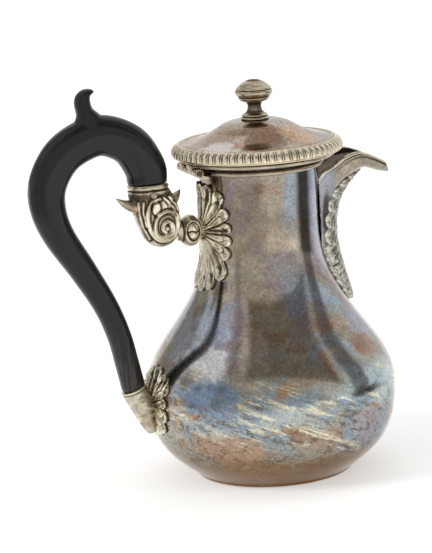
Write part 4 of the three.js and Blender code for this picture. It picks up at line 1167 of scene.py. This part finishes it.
def make_floor():
    """A white table that shows as white, keeps the pitcher's shadow, and has darker bays in reflections."""
    mesh = bpy.data.meshes.new("floor")
    low, high = -FLOOR_HALF, FLOOR_HALF
    mesh.from_pydata([(low, low, 0), (high, low, 0), (high, high, 0), (low, high, 0)], [], [(0, 1, 2, 3)])
    floor = add_object("floor", mesh)
    floor.location.z = -FLOOR_DROP
    n = Nodes(bpy.data.materials.new("floor_white"), empty=True)
    distance = n.vector("LENGTH", n.place)["Value"]
    rays = n.new("LightPath").outputs
    bays = n.bays(seen_from_camera(n)[3], FLOOR_BAYS)
    mirrored = n.times(n.span(distance, BAYS_START, BAYS_FULL), rays["Is Glossy Ray"])
    colour = n.mix(mirrored, (1, 1, 0.99), bays)
    diffuse = n.new("BsdfDiffuse", n.vector("MULTIPLY", colour, (FLOOR_PAINT,) * 3)[0])
    seen = n.math("MAXIMUM", rays["Is Camera Ray"], rays["Is Glossy Ray"])
    level = n.span(distance, BAYS_START, GLOW_REACH, GLOW_NEAR, GLOW_FAR)
    glow = n.new("Emission", colour, n.times(seen, level))
    n.new("OutputMaterial", n.new("AddShader", diffuse, glow))
    mesh.materials.append(n.owner)


ROOM_WALLS = [  # brightness and colour of a wall, and its start and end in shares of a turn, as above
    (0.95, 0.0, 0.083), ((0.42, 0.41, 0.39), 0.1, 0.18), ((0.86, 0.88, 0.9), 0.205, 0.34),
    ((0.55, 0.52, 0.49), 0.35, 0.372), ((0.8, 0.78, 0.74), 0.382, 0.725), ((0.3, 0.28, 0.27), 0.735, 0.78),
    ((0.95, 0.99, 1.0), 0.79), (0.95, 1.0),
]
CEILING = (0.31, 0.3, 0.28)
FURNITURE, FURNITURE_SHARE = (0.12, 0.105, 0.09), 0.6
ROOM_STRENGTH = 0.95


def make_world():
    """A pale studio with darker bays at the sides, a dark ceiling in front, and furniture at the left."""
    world = bpy.data.worlds.new("studio")
    bpy.context.scene.world = world
    n = Nodes(world, "Generated", empty=True)

    def within(signal, *degrees):
        """Where a signal starts, is full, begins to fade and ends."""
        start, full, fading, end = (math.radians(angle) for angle in degrees)
        return n.times(n.span(signal, start, full), n.span(signal, end, fading))

    toward, rightward, upward, turn = seen_from_camera(n)
    overhead, sideways = n.math("ARCTAN2", upward, toward), n.math("ARCTAN2", rightward, toward)
    roof = n.times(within(overhead, 39, 45, 106, 118), within(sideways, -35, -27, 68, 80))
    wander = n.times(n.plus(n.noise(5.0, 2.0, 0.5), -0.5), 0.5)
    rise, leftward = n.plus(n.math("ARCSINE", upward), wander), n.plus(n.times(sideways, -1.0), wander)
    dark = n.times(within(rise, 12, 14, 29, 32), within(leftward, 62, 65, 113, 116))
    scattered = n.times(n.noise(3.4, 2.0, 0.5), math.radians(100))
    dark = n.times(dark, n.span(scattered, math.radians(46), math.radians(50)))
    room = n.mix(roof, n.bays(turn, ROOM_WALLS), CEILING)
    lit = n.new("Background", n.over(room, dark, FURNITURE_SHARE, FURNITURE), ROOM_STRENGTH)
    camera_ray = n.new("LightPath").outputs["Is Camera Ray"]
    n.new("OutputWorld", n.new("MixShader", camera_ray, lit, n.new("Background", (1, 1, 1), 1.0)))


def make_lamp(name, angle, distance, height, size, power):
    """A lamp that only lights, at an angle in degrees from the camera's side, to its right."""
    turn = VIEW_TURN + math.radians(angle)
    place = Vector((distance * math.sin(turn), -distance * math.cos(turn), height))
    data = bpy.data.lights.new(name, "AREA")
    data.shape = "RECTANGLE"
    data.size, data.size_y = size
    data.energy = power
    lamp = add_object(name, data)
    lamp.location = place
    lamp.visible_glossy = False
    lamp.rotation_mode = "QUATERNION"
    lamp.rotation_quaternion = facing_pitcher(place)


bpy.context.scene.view_settings.view_transform = "Standard"
make_camera()
make_floor()
make_world()
make_lamp("key", -64, 1.3, 0.8, (0.4, 0.5), 7.0)
make_lamp("fill", 62, 1.4, 0.52, (0.35, 0.45), 3.5)

BODY = body_silver()
LID = lid_silver()
CAST = cast_silver("cast_silver_finish", 0.8)
BORDER = cast_silver("border_silver_finish", 0.45, (0.95, 0.86, 0.66), (0.76, 0.68, 0.53))
LEAF = cast_silver("leaf_silver_finish", 0.3, (0.7, 0.67, 0.56), (0.46, 0.46, 0.43))
KNOP_SILVER = cast_silver("knop_silver_finish", 1.0, (0.72, 0.63, 0.47), (0.36, 0.3, 0.23))
DULL = cast_silver("dull_silver_finish", 1.0, (0.6, 0.53, 0.42), (0.38, 0.33, 0.26))
PLAIN = plain_silver()
WOOD = ebonised_wood()

for body, slot, pieces in (
        ("pitcher", "body_silver", [
            (make_body(), BODY, "body_shell"), (make_rim(), DULL, "rim_moulding"),
            (make_spout(), BODY, "spout")]),
        ("pitcher", "cast_silver", [
            (make_spout_leaf(), LEAF, "spout_leaf"),
            (leaf_plate("neck_leaves", NECK_LOBES, NECK_CENTRE, 0.7, 1.2, 1.8), CAST, "neck_leaf_plate"),
            (make_upper_socket(), CAST, "upper_socket"),
            (make_spike("rear_leaf_tip", (55.7, 121.4), (60.5, 122.9), (64, 126), 4.1, 2.9), CAST),
            (make_spike("front_leaf_tip", (40.4, 121.8), (37.3, 124.1), (35.6, 126.7), 3.6, 2.6), CAST),
            (make_knuckle(), CAST, "upper_knuckle")]),
        ("pitcher", "ebonised_wood", [(make_handle(), WOOD, "handle")]),
        ("pitcher", "cast_silver", [
            (make_lower_socket(), CAST, "lower_socket"),
            (leaf_plate("belly_leaves", BELLY_LOBES, BELLY_CENTRE, 0.5, 0.7, 0.2, 300, 32), CAST,
             "belly_leaf_plate"),
            (make_pin("upper_pin_heads", "upper_handle_pin"), CAST, "upper_handle_pin"),
            (make_pin("lower_pin_heads", "lower_handle_pin"), CAST, "lower_handle_pin")]),
        ("lid", "lid_silver", [(make_dome(), LID, "lid_dome")]),
        ("lid", "cast_silver", [(make_border(), BORDER, "lid_border")]),
        ("lid", "fitting_silver", [(make_seat_ring(), PLAIN, "lid_seat_ring")]),
        ("lid", "cast_silver", [(make_knop(), KNOP_SILVER, "knop")]),
        ("pitcher", "cast_silver", [(make_hinge_side("hinge_knuckles_body", 0), DULL, "hinge_bracket")]),
        ("lid", "cast_silver", [(make_hinge_side("hinge_knuckles_lid", 1), DULL, "lid_hinge_leaf")])):
    for piece, finish, *nodes in pieces:
        give_material(piece, finish)
        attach(piece, body)
        if nodes:
            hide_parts(*nodes)
for node, finish in (("hinge_pin", DULL), ("knop_washer", PLAIN), ("knop_nut", PLAIN)):
    give_material(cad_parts[node], finish)
